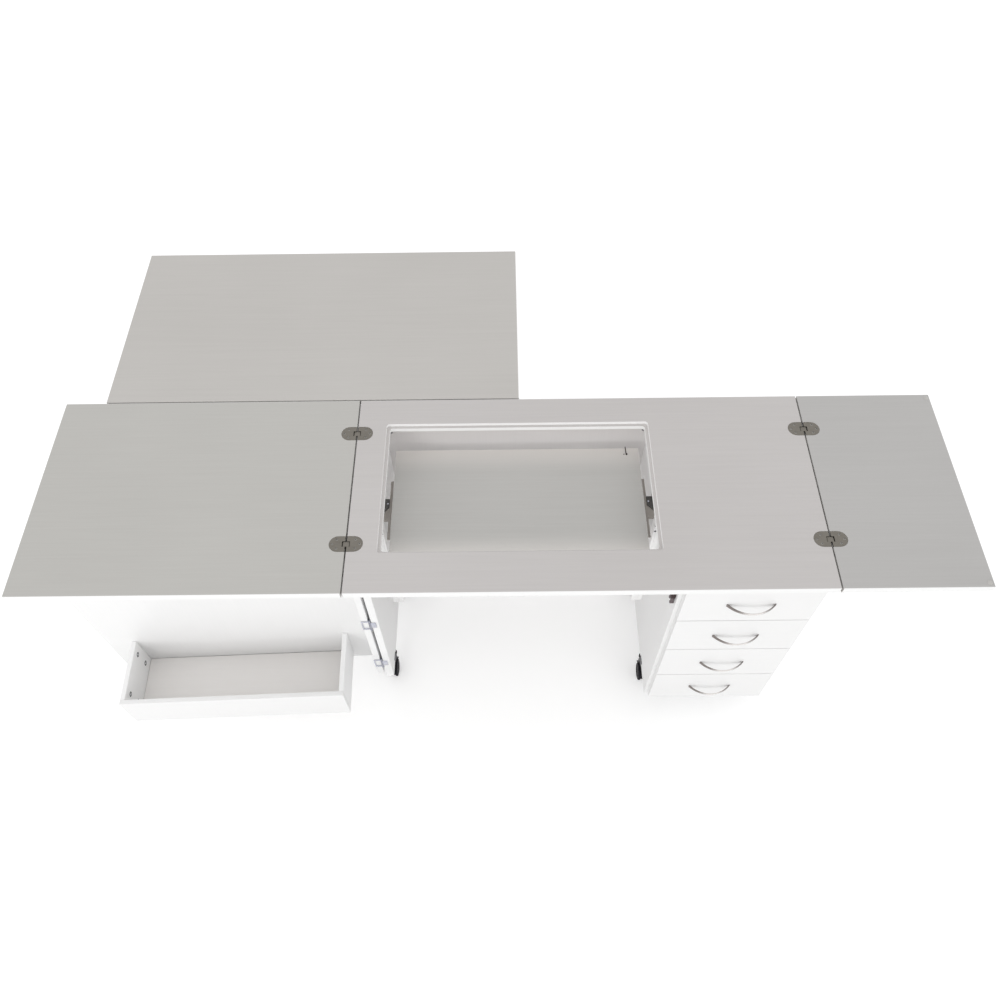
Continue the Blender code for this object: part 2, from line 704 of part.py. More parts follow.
def build_door(root):
    """Makes the door as it stands open, its bin, its hinges and the catch."""
    door = carrier("door_axis", (D["door_x"], D["door_y"], 0.0), root, DOOR_AJAR)
    low_z, high_z = D["door_bottom"], D["door_top"]
    inner = D["door_inner"]
    panel = box("door_tray", (D["door_free_edge"], inner, low_z),
                (D["door_hinge_edge"], inner + FRONT_BOARD, high_z), door, "white")
    stile = box("door_stile", (D["door_hinge_edge"] - STILE, LEFT_PANEL_FRONT, low_z),
                (D["door_hinge_edge"], inner + FRONT_BOARD / 2, high_z), door)
    join(panel, stile)
    bin_low = low_z + BIN_RISE
    tray = box("storage_bin", (D["bin_left"], D["bin_front"], bin_low),
               (D["bin_right"], inner - GAP, bin_low + BIN_HEIGHT), door, "white")
    inside = box("bin_inside",
                 (D["bin_left"] + BIN_BOARD, D["bin_front"] + BIN_BOARD, bin_low + BIN_BOARD),
                 (D["bin_right"] - BIN_BOARD, inner + PAST, bin_low + BIN_HEIGHT + PAST), door)
    cut(tray, inside)
    for label, z in zip(("lower", "middle", "upper"), butt_heights()):
        butt_hinge(f"door_hinge_{label}", z, root, door)
    catch_y = D["pedestal_front"] + CATCH_SETBACK
    catch_top = D["panel_top"] - CATCH_DROP
    box("door_catch", (PEDESTAL_LEFT - GAP - CATCH_WIDTH, catch_y, catch_top - CATCH_HEIGHT),
        (PEDESTAL_LEFT - GAP, catch_y + CATCH_DEPTH, catch_top), root, "catch")


# Machine lift

def build_lift(root):
    """Makes the guide frame with its spring cylinder, the carriage and the platform."""
    top = TOP_HEIGHT - LIFT_DROP
    under = top - BOARD
    rest_to_flush = LIFT_DROP - LIFT_FLUSH
    lift = carrier("lift_slide", (OPENING_LEFT, OPENING_FRONT, top), root)
    low_x = OPENING_LEFT + RIM_LEDGE + PLATFORM_CLEARANCE
    high_x = D["opening_right"] - RIM_LEDGE - PLATFORM_CLEARANCE
    box("lift_platform", (low_x, OPENING_FRONT + RIM_LEDGE + PLATFORM_CLEARANCE, under),
        (high_x, D["opening_rear"] - RIM_LEDGE - PLATFORM_CLEARANCE, top), lift, "platform")
    # guide frame: two boards joined low down by a bar, each with an upright groove and a foot
    inner = {"left": OPENING_LEFT - POST_SETBACK, "right": D["opening_right"] + POST_SETBACK}
    outer = {"left": inner["left"] - POST_BOARD, "right": inner["right"] + POST_BOARD}
    post_rear = D["back_front"] - GAP
    frame = box("lift_frame", (outer["left"], POST_FRONT, POST_BOTTOM),
                (inner["left"], post_rear, D["panel_top"]), root, "white")
    other = box("lift_right_post", (inner["right"], POST_FRONT, POST_BOTTOM),
                (outer["right"], post_rear, D["panel_top"]), root)
    slider_y0 = POST_FRONT + SLIDER_SETBACK
    slider_y1 = slider_y0 + SLIDER_WIDTH
    bar_rear = slider_y1 + CROSS_BAR_SETBACK + CROSS_BAR_DEPTH
    bar = box("lift_cross_bar", (outer["left"] + PAST, bar_rear - CROSS_BAR_DEPTH, POST_BOTTOM + PAST),
              (outer["right"] - PAST, bar_rear, POST_BOTTOM + CROSS_BAR_HEIGHT), root)
    grooves = []
    feet = []
    for side, sign in (("left", -1), ("right", 1)):
        deep = inner[side] + sign * SLIDER_GROOVE
        past = inner[side] - sign * PAST
        root_x, tip_x = inner[side] + sign * SLIDER_GROOVE / 2, inner[side] - sign * FOOT_REACH
        feet.append(box(f"lift_foot_{side}", (min(root_x, tip_x), POST_FRONT + PAST, POST_BOTTOM + PAST),
                        (max(root_x, tip_x), POST_FRONT + FOOT_DEPTH, POST_BOTTOM + FOOT_HEIGHT), root))
        grooves.append(box(f"lift_groove_{side}",
                           (min(deep, past), slider_y0 - RUNNING_GAP, POST_BOTTOM - PAST),
                           (max(deep, past), slider_y1 + RUNNING_GAP, D["panel_top"] + PAST), root))
    # spring cylinder on the rear of the bar
    spring_x = inner["left"] + SPRING_INSET
    spring_y = bar_rear + SPRING_RADIUS - SPRING_BITE
    arm_low = under - GAP - BRIDGE_PLATE - SPRING_ARM_DROP
    cylinder_top = arm_low - LIFT_DOWN - SPRING_ARM_CLEAR
    rod_length = arm_low + rest_to_flush - cylinder_top + SPRING_ENGAGED
    cylinder_low = arm_low - LIFT_DOWN - rod_length - 2 * SPRING_END
    cylinder = rod("spring_cylinder", (spring_x, spring_y, cylinder_low),
                   (spring_x, spring_y, cylinder_top), SPRING_RADIUS, root, sides=2 * PIN_SIDES)
    bore = rod("spring_bore", (spring_x, spring_y, cylinder_low + SPRING_END),
               (spring_x, spring_y, cylinder_top + PAST), SPRING_BORE, root)
    join(frame, other, bar, cylinder)
    cut(frame, *grooves, bore)
    join(frame, *feet)
    # carriage: a bridge under the platform, a slider in each groove and the spring's rod
    plate_high = under - GAP
    x0 = inner["left"] - SLIDER_GROOVE + RUNNING_GAP
    x1 = inner["right"] + SLIDER_GROOVE - RUNNING_GAP
    bridge = box("lift_carriage", (x0, slider_y0, plate_high - BRIDGE_PLATE),
                 (x1, slider_y1, plate_high), lift, "steel")
    additions = []
    flange_y0 = (slider_y0 + slider_y1 - FLANGE_LENGTH) / 2
    for side, edge, sign in (("left", low_x, 1), ("right", high_x, -1)):
        end = x0 if sign > 0 else x1
        face = edge - sign * GAP
        additions.append(box(f"lift_slider_{side}",
                             (min(end, face), slider_y0, plate_high - SLIDER_HEIGHT),
                             (max(end, face), slider_y1, plate_high), lift))
        outside = edge - sign * FLANGE_REACH
        within = edge + sign * FLANGE_UNDER
        additions.append(box(f"lift_flange_{side}",
                             (min(outside, within), flange_y0, plate_high - FLANGE_PLATE),
                             (max(outside, within), flange_y0 + FLANGE_LENGTH, plate_high), lift))
    arm_high = plate_high - BRIDGE_PLATE / 2
    half = SPRING_ARM_WIDTH / 2
    additions.append(box("spring_arm", (spring_x - half, slider_y1 - SPRING_ARM_LAP, arm_low),
                         (spring_x + half, spring_y + half, arm_high), lift))
    additions.append(rod("spring_rod", (spring_x, spring_y, arm_low - rod_length),
                         (spring_x, spring_y, arm_low + SPRING_ARM_DROP / 2), SPRING_ROD, lift))
    join(bridge, *additions)


# Casters

def wheel_pair(name, centre, on):
    """Makes both wheels and their spindle by turning one section about local X."""
    inner = WEB / 2 + WEB_GAP
    outer = inner + WHEEL_WIDTH
    rim, ease = WHEEL_RADIUS, WHEEL_EASE
    section = [(0.0, outer), (rim - ease, outer), (rim, outer - ease), (rim, inner), (SPINDLE_RADIUS, inner)]
    section += [(r, -w) for r, w in reversed(section)]
    bm = bmesh.new()
    verts = [bm.verts.new((r, 0.0, w)) for r, w in section]
    edges = [bm.edges.new(pair) for pair in zip(verts, verts[1:])]
    bmesh.ops.spin(bm, geom=verts + edges, cent=(0, 0, 0), axis=(0, 0, 1), dvec=(0, 0, 0),
                   angle=math.tau, steps=WHEEL_SIDES, use_merge=True)
    bmesh.ops.remove_doubles(bm, verts=bm.verts, dist=0.00001)
    bmesh.ops.transform(bm, matrix=ALONG_X.to_4x4(), verts=bm.verts)
    pair = place(name, to_mesh(name, bm), centre, on, "tread")
    pair.data.shade_smooth()
    pair.data.set_sharp_from_angle(angle=math.radians(30))


def build_caster(name, x, y, root):
    """Makes one caster: a hood that swivels under its panel and twin wheels that roll in it."""
    swivel = carrier(f"{name}_caster_swivel", (x, y, 0.0), root, math.radians(CASTER_TURNS[name]))
    axle_y = y - CASTER_TRAIL
    axle_z = WHEEL_RADIUS
    roll = carrier(f"{name}_caster_axle", (x, axle_y, axle_z), swivel)
    hood_inner = WHEEL_RADIUS + HOOD_GAP
    hood_outer = hood_inner + HOOD_WALL
    neck_low = axle_z + hood_inner
    # web between the wheels, from the spindle up to the neck
    outline = arc((-CASTER_TRAIL, axle_z), WEB_BOSS, 180.0, 330.0, SMALL_ARC_STEPS)
    outline += [(NECK_RADIUS, neck_low - NECK_ROOT), (NECK_RADIUS, neck_low + NECK_ROOT),
                (-NECK_RADIUS, neck_low + NECK_ROOT), (-CASTER_TRAIL - WEB_BOSS, axle_z + WEB_BOSS)]
    hood = plate(f"{name}_caster_hood", outline, WEB, (x, y, 0.0), swivel, "tread", ALONG_X)
    low, high = 90.0 - HOOD_SPREAD, 90.0 + HOOD_SPREAD
    shell_outline = arc((0.0, 0.0), hood_outer, low, high, SMALL_ARC_STEPS)
    shell_outline += arc((0.0, 0.0), hood_inner, high, low, SMALL_ARC_STEPS)
    width = WEB + 2 * (WEB_GAP + WHEEL_WIDTH)
    shell = plate(f"{name}_shell", shell_outline, width, (x, axle_y, axle_z), swivel, lie=ALONG_X)
    neck = rod(f"{name}_neck", (x, y, neck_low), (x, y, CASTER_HEIGHT - COLLAR / 2), NECK_RADIUS, swivel)
    collar = rod(f"{name}_collar", (x, y, CASTER_HEIGHT - GAP - COLLAR), (x, y, CASTER_HEIGHT - GAP),
                 COLLAR_RADIUS, swivel, sides=WHEEL_SIDES)
    eye = rod(f"{name}_eye", (x - WEB, axle_y, axle_z), (x + WEB, axle_y, axle_z),
              SPINDLE_RADIUS + RUNNING_GAP, swivel)
    join(hood, shell, neck, collar)
    cut(hood, eye)
    wheel_pair(f"{name}_caster_wheels", (x, axle_y, axle_z), roll)


def build_casters(root):
    """Puts two casters under each upright panel."""
    right = D["carcass_right"]
    columns = {
        "left": (PANEL_INSET + BOARD / 2, LEFT_PANEL_FRONT + CASTER_FRONT_INSET_LEFT),
        "middle": (PEDESTAL_LEFT + BOARD / 2, D["pedestal_front"] + CASTER_FRONT_INSET_PEDESTAL),
        "right": (right - BOARD / 2, D["pedestal_front"] + CASTER_FRONT_INSET_PEDESTAL),
    }
    for column, (x, front_y) in columns.items():
        build_caster(f"{column}_front", x, front_y, root)
        build_caster(f"{column}_rear", x, D["panel_rear"] - CASTER_REAR_INSET, root)


# Quilt leaf

def build_quilt_leaf(root):
    """Makes the rail on the back, the carriage on it, the hinge strap and the leaf."""
    rail_y = D["back_rear"] + GAP
    rail_z = D["top_under"] - RAIL_DROP
    rail_x0, rail_x1 = RAIL_END_INSET, D["carcass_right"] - RAIL_END_INSET
    web, head = RAIL_WEB_HEIGHT / 2, RAIL_HEAD_HEIGHT / 2
    face = RAIL_WEB + RAIL_HEAD
    section = [(0.0, -web), (RAIL_WEB, -web), (RAIL_WEB, -head), (face, -head),
               (face, head), (RAIL_WEB, head), (RAIL_WEB, web), (0.0, web)]
    plate("quilt_rail", section, rail_x1 - rail_x0, ((rail_x0 + rail_x1) / 2, rail_y, rail_z),
          root, "steel", ALONG_X)
    # carriage: wraps the rail's head and reaches back to the hinge
    quilt_right = QUILT_LEFT + QUILT_WIDTH
    x1 = quilt_right - CARRIAGE_FROM_RIGHT
    x0 = x1 - CARRIAGE_LENGTH
    middle = (x0 + x1) / 2
    axis_y = D["quilt_front"] + PIANO_RADIUS - RUNNING_GAP
    axis_z = D["top_under"] - PIANO_RADIUS - RUNNING_GAP
    slide = carrier("quilt_carriage_slide", (middle, rail_y, rail_z), root)
    fold = carrier("quilt_leaf_axis", (middle, axis_y, axis_z), slide)
    skirt = head + RUNNING_GAP
    back = face + RUNNING_GAP
    lip_y = RAIL_WEB - RUNNING_GAP
    shelf_high = axis_z + PIANO_RADIUS - RUNNING_GAP - rail_z
    shelf_low = shelf_high - SHELF_PLATE
    shelf_end = axis_y - rail_y
    wall = CARRIAGE_WALL
    section = [
        (back, -skirt), (lip_y, -skirt), (lip_y, CARRIAGE_LIP - skirt),
        (lip_y - wall, CARRIAGE_LIP - skirt), (lip_y - wall, -skirt - wall),
        (back + wall, -skirt - wall), (back + wall, shelf_low), (shelf_end, shelf_low),
        (shelf_end, shelf_high), (back, shelf_high), (back, skirt + wall),
        (lip_y - wall, skirt + wall), (lip_y - wall, skirt - CARRIAGE_LIP),
        (lip_y, skirt - CARRIAGE_LIP), (lip_y, skirt), (back, skirt),
    ]
    carriage = plate("quilt_carriage", section, CARRIAGE_LENGTH, (middle, rail_y, rail_z),
                     slide, "steel", ALONG_X)
    # strap under the leaf; odd knuckles stay on the carriage, even ones on the strap
    strap_high = D["top_under"] - GAP
    strap = box("quilt_hinge", (x0, axis_y, strap_high - STRAP_PLATE),
                (x1, axis_y + STRAP_REACH, strap_high), fold, "steel")
    pitch = CARRIAGE_LENGTH / PIANO_KNUCKLES
    carriage_knuckles, strap_knuckles, carriage_slots, strap_slots = [], [], [], []
    for i in range(PIANO_KNUCKLES):
        a = x0 + i * pitch
        b = a + pitch
        if i % 2 == 0:
            carriage_knuckles.append(rod(f"quilt_knuckle_{i}", (a + PIANO_END_GAP, axis_y, axis_z),
                                         (b - PIANO_END_GAP, axis_y, axis_z), PIANO_RADIUS, slide))
            strap_slots.append(box(f"quilt_strap_slot_{i}",
                                   (a, axis_y - PAST, strap_high - STRAP_PLATE - PAST),
                                   (b, axis_y + PIANO_RADIUS + RUNNING_GAP, strap_high + PAST), fold))
        else:
            strap_knuckles.append(rod(f"quilt_knuckle_{i}", (a + PIANO_END_GAP, axis_y, axis_z),
                                      (b - PIANO_END_GAP, axis_y, axis_z), PIANO_RADIUS, fold))
            carriage_slots.append(box(f"quilt_shelf_slot_{i}",
                                      (a, axis_y - PIANO_RADIUS - RUNNING_GAP, axis_z - 2 * PIANO_RADIUS),
                                      (b, axis_y + PAST, axis_z + 2 * PIANO_RADIUS), slide))
    pin = rod("quilt_pin", (x0 + PIANO_END_GAP, axis_y, axis_z),
              (x1 - PIANO_END_GAP, axis_y, axis_z), PIANO_PIN_RADIUS, slide)
    bore = rod("quilt_bore", (x0 - PAST, axis_y, axis_z), (x1 + PAST, axis_y, axis_z),
               PIANO_BORE_RADIUS, fold)
    cut(carriage, *carriage_slots)
    join(carriage, *carriage_knuckles, pin)
    cut(strap, *strap_slots)
    join(strap, *strap_knuckles)
    cut(strap, bore)
    box("quilt_leaf", (QUILT_LEFT, D["quilt_front"], D["top_under"]),
        (quilt_right, D["quilt_rear"], TOP_HEIGHT), fold, "laminate")


def main():
    """Builds the whole cabinet."""
    base = bpy.data.objects.new("cabinet_base", None)
    PARTS.objects.link(base)
    base.location = footprint_shift()
    root = Carrier(base, Vector((0.0, 0.0, 0.0)))
    build_tops(root)
    build_carcass(root)
    for number in range(1, DRAWER_COUNT + 1):
        build_drawer(number, root)
    build_door(root)
    build_lift(root)
    build_casters(root)
    build_quilt_leaf(root)


main()
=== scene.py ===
"""Looks of the fold-away sewing cabinet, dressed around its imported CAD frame."""
import json
import logging
import math
from dataclasses import dataclass, field
from enum import Enum, IntEnum
from functools import cache
from typing import Callable, Sequence

import bmesh
import bpy
from bmesh.types import BMEdge, BMesh, BMFace
from bpy.types import ID, Material, Mesh, Node, NodeSocket, NodeTree, Object
from mathutils import Matrix, Vector


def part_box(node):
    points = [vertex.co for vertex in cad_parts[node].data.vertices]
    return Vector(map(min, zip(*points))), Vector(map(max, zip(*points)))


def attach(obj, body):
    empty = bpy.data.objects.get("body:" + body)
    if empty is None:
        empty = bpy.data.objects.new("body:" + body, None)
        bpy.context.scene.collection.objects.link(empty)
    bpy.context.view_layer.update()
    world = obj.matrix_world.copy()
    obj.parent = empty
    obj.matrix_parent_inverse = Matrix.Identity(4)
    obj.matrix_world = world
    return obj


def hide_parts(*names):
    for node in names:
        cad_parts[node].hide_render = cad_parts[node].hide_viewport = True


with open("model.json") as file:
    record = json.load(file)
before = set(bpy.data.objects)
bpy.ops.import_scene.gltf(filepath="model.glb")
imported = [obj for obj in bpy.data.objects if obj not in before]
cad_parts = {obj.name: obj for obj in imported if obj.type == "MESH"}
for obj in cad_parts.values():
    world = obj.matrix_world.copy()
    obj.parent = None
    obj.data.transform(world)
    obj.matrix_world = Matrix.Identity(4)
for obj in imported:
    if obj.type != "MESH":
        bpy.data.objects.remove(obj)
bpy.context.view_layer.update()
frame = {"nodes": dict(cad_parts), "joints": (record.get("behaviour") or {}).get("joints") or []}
LOG = logging.getLogger("sewing_cabinet")
Colour = tuple[float, float, float]
Place = tuple[float, float, float]
Spot = tuple[float, float]

# The front left corner of the centre top, on the floor: places below are counted from it.
CORNER = Vector((-0.315533, -0.485256, 0.0))
TOP_Z = 0.768
ORIGIN = (0, 0, 0)
AXES = {"X": (1, 0, 0), "Z": (0, 0, 1)}
QUARTER = math.radians(90.0)
# Coordinates that differ by less than SAME are one place, and points closer than WELD are merged.
SAME, WELD = 0.00002, 0.000005
# Faces that turn by less than FLAT_DEG are one flat face; CORNER_DEG and SHARP_DEG make an edge.
FLAT_DEG, CORNER_DEG, SHARP_DEG = 1.0, 40.0, 60.0
# A face looks along an axis when its normal has more than this along it.
SQUARE_ON = 0.9
# Pieces are shaded round up to these turns between their faces.
SCREW_ROUND_DEG, ROD_ROUND_DEG = 30.0, 35.0


def spot(x: float, y: float, z: float) -> Vector:
    """Returns the place of a point that is counted from the centre top's front left corner."""
    return CORNER + Vector((x, y, z))


def joint(name: str) -> dict:
    """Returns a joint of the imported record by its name."""
    return next(j for j in frame["joints"] if j["name"] == name)


# Finishes

# The part of a pattern that is spread over a finish's tones, and over its roughness.
TONE_RANGE, GLOSS_RANGE = (0.32, 0.68), (0.3, 0.7)
# Laminate has fine streaks and soft clouds.
STREAK_DETAIL, STREAK_ROUGHNESS, STREAK_DEPTH = 6.0, 0.62, 0.0003
CLOUD_SCALE, CLOUD_SHIFT, CLOUD_DETAIL, CLOUD_SHARE = 2.3, 5.0, 2.0, 0.45
# Metal has brushing and a cloud of handling marks.
BRUSH_ALONG, BRUSH_ACROSS, BRUSH_DETAIL, BRUSH_RELIEF = 70.0, 1100.0, 3.0, 0.06
MARK_SCALE, MARK_DETAIL, MARK_SHARE = 45.0, 3.0, 0.5
# Plastic and rubber have a stippled skin and dust.
SKIN_DETAIL, SKIN_RELIEF = 2.0, 0.12
DUST_SCALE, DUST_DETAIL, DUST_ROUGHNESS = 60.0, 4.0, 0.6
FINE_DEPTH = 0.0001
# The sockets of a Mix node that carry colours share their names with others, so they go by number.
MIX_FACTOR, MIX_FIRST, MIX_SECOND, MIX_RESULT = 0, 6, 7, 2


class Grain(Enum):
    """The axis that a board's grain or a metal's brushing follows."""

    ALONG_X = 0
    ALONG_Y = 1
    ALONG_Z = 2

    def stretch(self, along: float, across: float) -> Vector:
        """Draws a pattern out along the grain.

        Args:
            along: the pattern's scale along the grain.
            across: its scale across the grain.

        Returns:
            The scales for X, Y and Z.
        """
        scale = Vector((across, across, across))
        scale[self.value] = along
        return scale


class NodeSheet:
    """A node tree and what is being added to it."""

    def __init__(self, tree: NodeTree) -> None:
        """Starts on a tree as it is."""
        self.nodes = tree.nodes
        self.links = tree.links

    def add(self, kind: str, inputs: dict[str | int, object], **settings: object) -> Node:
        """Adds a node.

        Args:
            kind: the node's type name.
            inputs: values for its sockets, or sockets to link to them.
            settings: properties of the node itself.

        Returns:
            The new node.
        """
        node = self.nodes.new(kind)
        for key, value in settings.items():
            setattr(node, key, value)
        for key, value in inputs.items():
            if isinstance(value, NodeSocket):
                self.links.new(value, node.inputs[key])
            else:
                node.inputs[key].default_value = value
        return node

    def maths(self, operation: str, first: NodeSocket, second: NodeSocket | float = 0.0) -> NodeSocket:
        """Returns the result of a sum on one or two values."""
        return self.add("ShaderNodeMath", {0: first, 1: second}, operation=operation).outputs[0]

    def seen_directly(self) -> NodeSocket:
        """Tells rays from the camera, from mirrors and through glass from the rest.

        Returns:
            The socket with 1 for those rays and 0 for the others.
        """
        path = self.add("ShaderNodeLightPath", {}).outputs
        first = self.maths("MAXIMUM", path["Is Camera Ray"], path["Is Glossy Ray"])
        return self.maths("MAXIMUM", first, path["Is Transmission Ray"])


class FinishSheet(NodeSheet):
    """One material and the nodes round its Principled shader."""

    def __init__(self, name: str) -> None:
        """Starts a material that holds only its Principled shader.

        Args:
            name: the material's name.
        """
        self.material: Material = bpy.data.materials.new(name)
        self.material.use_nodes = True
        super().__init__(self.material.node_tree)
        self.shader: Node = self.nodes["Principled BSDF"]

    def where(self, scale: Vector, shift: float) -> NodeSocket:
        """Places a pattern on the object.

        Args:
            scale: how fine the pattern is along X, Y and Z.
            shift: how far it is moved along all three.

        Returns:
            The socket with the pattern's coordinates.
        """
        origin = self.add("ShaderNodeTexCoord", {})
        placed = self.add("ShaderNodeMapping", {
            "Vector": origin.outputs["Object"], "Scale": scale, "Location": (shift, shift, shift)})
        return placed.outputs["Vector"]

    def noise(self, scale: Vector, detail: float, roughness: float = 0.5, shift: float = 0.0) -> NodeSocket:
        """Adds a noise pattern.

        Args:
            scale: how fine it is along X, Y and Z.
            detail: how many finer layers it has.
            roughness: how strong the finer layers are.
            shift: how far it is moved along all three axes.

        Returns:
            The socket with the pattern.
        """
        node = self.add("ShaderNodeTexNoise", {
            "Vector": self.where(scale, shift), "Scale": 1.0, "Detail": detail, "Roughness": roughness})
        return node.outputs["Fac"]

    def clouds(self, scale: float, detail: float, roughness: float = 0.5, shift: float = 0.0) -> NodeSocket:
        """Returns a noise pattern that is as fine along all three axes."""
        return self.noise(Vector((scale, scale, scale)), detail, roughness, shift)

    def brushing(self, grain: Grain) -> NodeSocket:
        """Returns the fine lines of brushed metal."""
        return self.noise(grain.stretch(BRUSH_ALONG, BRUSH_ACROSS), BRUSH_DETAIL)

    def share(self, first: NodeSocket, second: NodeSocket, part: float) -> NodeSocket:
        """Returns two patterns mixed, with the second one taking the given part."""
        return self.add("ShaderNodeMix", {"Factor": part, "A": first, "B": second}).outputs["Result"]

    def tones(self, factor: NodeSocket, dark: Colour, light: Colour) -> NodeSocket:
        """Colours a pattern.

        Args:
            factor: the pattern.
            dark: the colour where it is low.
            light: the colour where it is high.

        Returns:
            The socket with the colour.
        """
        node = self.add("ShaderNodeValToRGB", {"Fac": factor})
        for end, place, tone in zip(node.color_ramp.elements, TONE_RANGE, (dark, light)):
            end.position, end.color = place, (*tone, 1.0)
        return node.outputs["Color"]

    def away_from(self, centre: Vector, axis: str) -> NodeSocket:
        """Measures how far a point lies from a centre along one axis.

        Args:
            centre: the centre.
            axis: X, Y or Z.

        Returns:
            The socket with the distance.
        """
        origin = self.add("ShaderNodeTexCoord", {})
        placed = self.add("ShaderNodeMapping", {"Vector": origin.outputs["Object"], "Location": -centre})
        parts = self.add("ShaderNodeSeparateXYZ", {"Vector": placed.outputs["Vector"]})
        return self.maths("ABSOLUTE", parts.outputs[axis])

    def spread(self, value: NodeSocket, ends: Spot, levels: Spot, easing: str = "LINEAR") -> NodeSocket:
        """Takes a value from one range to another.

        Args:
            value: the value.
            ends: the range that it comes from.
            levels: the range that it goes to.
            easing: the way it goes from end to end.

        Returns:
            The socket with the new value.
        """
        node = self.add("ShaderNodeMapRange", {
            "Value": value, "From Min": ends[0], "From Max": ends[1],
            "To Min": levels[0], "To Max": levels[1]}, interpolation_type=easing)
        return node.outputs["Result"]

    def feed(self, socket: str, source: NodeSocket) -> None:
        """Links a pattern to a socket of the shader."""
        self.links.new(source, self.shader.inputs[socket])

    def gloss(self, factor: NodeSocket, levels: Spot) -> None:
        """Feeds the roughness from a pattern."""
        self.feed("Roughness", self.spread(factor, GLOSS_RANGE, levels))

    def relief(self, height: NodeSocket, strength: float, depth: float) -> None:
        """Feeds the surface normal from a pattern."""
        node = self.add("ShaderNodeBump", {"Height": height, "Strength": strength, "Distance": depth})
        self.feed("Normal", node.outputs["Normal"])

    def fixed(self, socket: str, value: float) -> None:
        """Sets a value that is the same all over the surface."""
        self.shader.inputs[socket].default_value = value


@dataclass(frozen=True)
class BoardFinish:
    """Pale laminate on board, with fine streaks along the grain under a satin sheen."""

    name: str
    light: Colour
    dark: Colour
    grain: Grain = Grain.ALONG_X
    shift: float = 0.0
    along: float = 5.0
    across: float = 210.0
    relief: float = 0.10
    gloss: Spot = (0.40, 0.54)

    @cache
    def material(self) -> Material:
        """Makes the Blender material of this finish.

        Returns:
            The material, which is made once.
        """
        sheet = FinishSheet(self.name)
        stretch = self.grain.stretch(self.along, self.across)
        streak = sheet.noise(stretch, STREAK_DETAIL, STREAK_ROUGHNESS, self.shift)
        cloud = sheet.clouds(CLOUD_SCALE, CLOUD_DETAIL, shift=self.shift + CLOUD_SHIFT)
        plain = sheet.tones(sheet.share(streak, cloud, CLOUD_SHARE), self.dark, self.light)
        sheet.feed("Base Color", self.painted_light(sheet, plain))
        sheet.gloss(streak, self.gloss)
        sheet.relief(streak, self.relief, STREAK_DEPTH)
        return sheet.material

    def painted_light(self, sheet: FinishSheet, plain: NodeSocket) -> NodeSocket:
        """Returns the laminate's colour with its painted light, which most boards don't have."""
        return plain


@dataclass(frozen=True, kw_only=True)
class EdgeLitBoard(BoardFinish):
    """Grey laminate, a painted shade, with painted light that makes it paler and warmer towards its front
    and rear edges.
    """

    edge_light: Colour
    middle: float
    half: float
    plain_share: float = 0.45

    def painted_light(self, sheet: FinishSheet, plain: NodeSocket) -> NodeSocket:
        """Mixes the painted light in towards the front and rear edges.

        Args:
            sheet: the material's nodes.
            plain: the laminate's own colour.

        Returns:
            The socket with the mixed colour.
        """
        away = sheet.away_from(Vector((0.0, self.middle, 0.0)), "Y")
        edge_lit_share = sheet.spread(away, (self.plain_share * self.half, self.half), (0.0, 1.0), "SMOOTHSTEP")
        mixed = sheet.add("ShaderNodeMix", {
            MIX_FACTOR: edge_lit_share, MIX_FIRST: plain, MIX_SECOND: (*self.edge_light, 1.0)}, data_type="RGBA")
        return mixed.outputs[MIX_RESULT]


@dataclass(frozen=True)
class MetalFinish:
    """Metal with fine brushing and a cloud of handling marks."""

    name: str
    light: Colour
    dark: Colour
    gloss: Spot
    grain: Grain = Grain.ALONG_X
    metallic: float = 1.0

    @cache
    def material(self) -> Material:
        """Makes the Blender material of this finish.

        Returns:
            The material, which is made once.
        """
        sheet = FinishSheet(self.name)
        brush = sheet.brushing(self.grain)
        marks = sheet.clouds(MARK_SCALE, MARK_DETAIL)
        sheet.feed("Base Color", sheet.tones(sheet.share(brush, marks, MARK_SHARE), self.dark, self.light))
        sheet.gloss(marks, self.gloss)
        sheet.relief(brush, BRUSH_RELIEF, FINE_DEPTH)
        sheet.fixed("Metallic", self.metallic)
        return sheet.material


@dataclass(frozen=True)
class MouldedFinish:
    """Moulded plastic or rubber with a stippled skin and a little dust."""

    name: str
    light: Colour
    dark: Colour
    gloss: Spot
    stipple: float = 1500.0
    shine: float = 0.5

    @cache
    def material(self) -> Material:
        """Makes the Blender material of this finish.

        Returns:
            The material, which is made once.
        """
        sheet = FinishSheet(self.name)
        skin = sheet.clouds(self.stipple, SKIN_DETAIL)
        dust = sheet.clouds(DUST_SCALE, DUST_DETAIL, DUST_ROUGHNESS)
        sheet.feed("Base Color", sheet.tones(dust, self.dark, self.light))
        sheet.gloss(dust, self.gloss)
        sheet.relief(skin, SKIN_RELIEF, FINE_DEPTH)
        sheet.fixed("Specular IOR Level", self.shine)
        return sheet.material


@dataclass(frozen=True)
class ReflectionPaintedMetal:
    """Satin metal with a painted reflection: bright around its middle and dark towards its ends."""

    name: str
    painted_light: Colour
    painted_dark: Colour
    gloss: Spot
    middle: float
    half: float
    reflection_ends: Spot = (0.15, 0.75)
    reflection_levels: Spot = (0.75, 0.30)
    brush_share: float = 0.25

    @cache
    def material(self) -> Material:
        """Makes the Blender material of this finish.

        Returns:
            The material, which is made once.
        """
        sheet = FinishSheet(self.name)
        brush = sheet.brushing(Grain.ALONG_X)
        # Painted reflection: the colour runs from the dark ends to the bright middle.
        away = sheet.away_from(Vector((self.middle, 0.0, 0.0)), "X")
        start, end = (share * self.half for share in self.reflection_ends)
        shine = sheet.spread(away, (start, end), self.reflection_levels, "SMOOTHSTEP")
        pattern = sheet.share(shine, brush, self.brush_share)
        sheet.feed("Base Color", sheet.tones(pattern, self.painted_dark, self.painted_light))
        sheet.gloss(brush, self.gloss)
        sheet.relief(brush, BRUSH_RELIEF, FINE_DEPTH)
        sheet.fixed("Metallic", 1.0)
        return sheet.material


Finish = BoardFinish | MetalFinish | MouldedFinish | ReflectionPaintedMetal
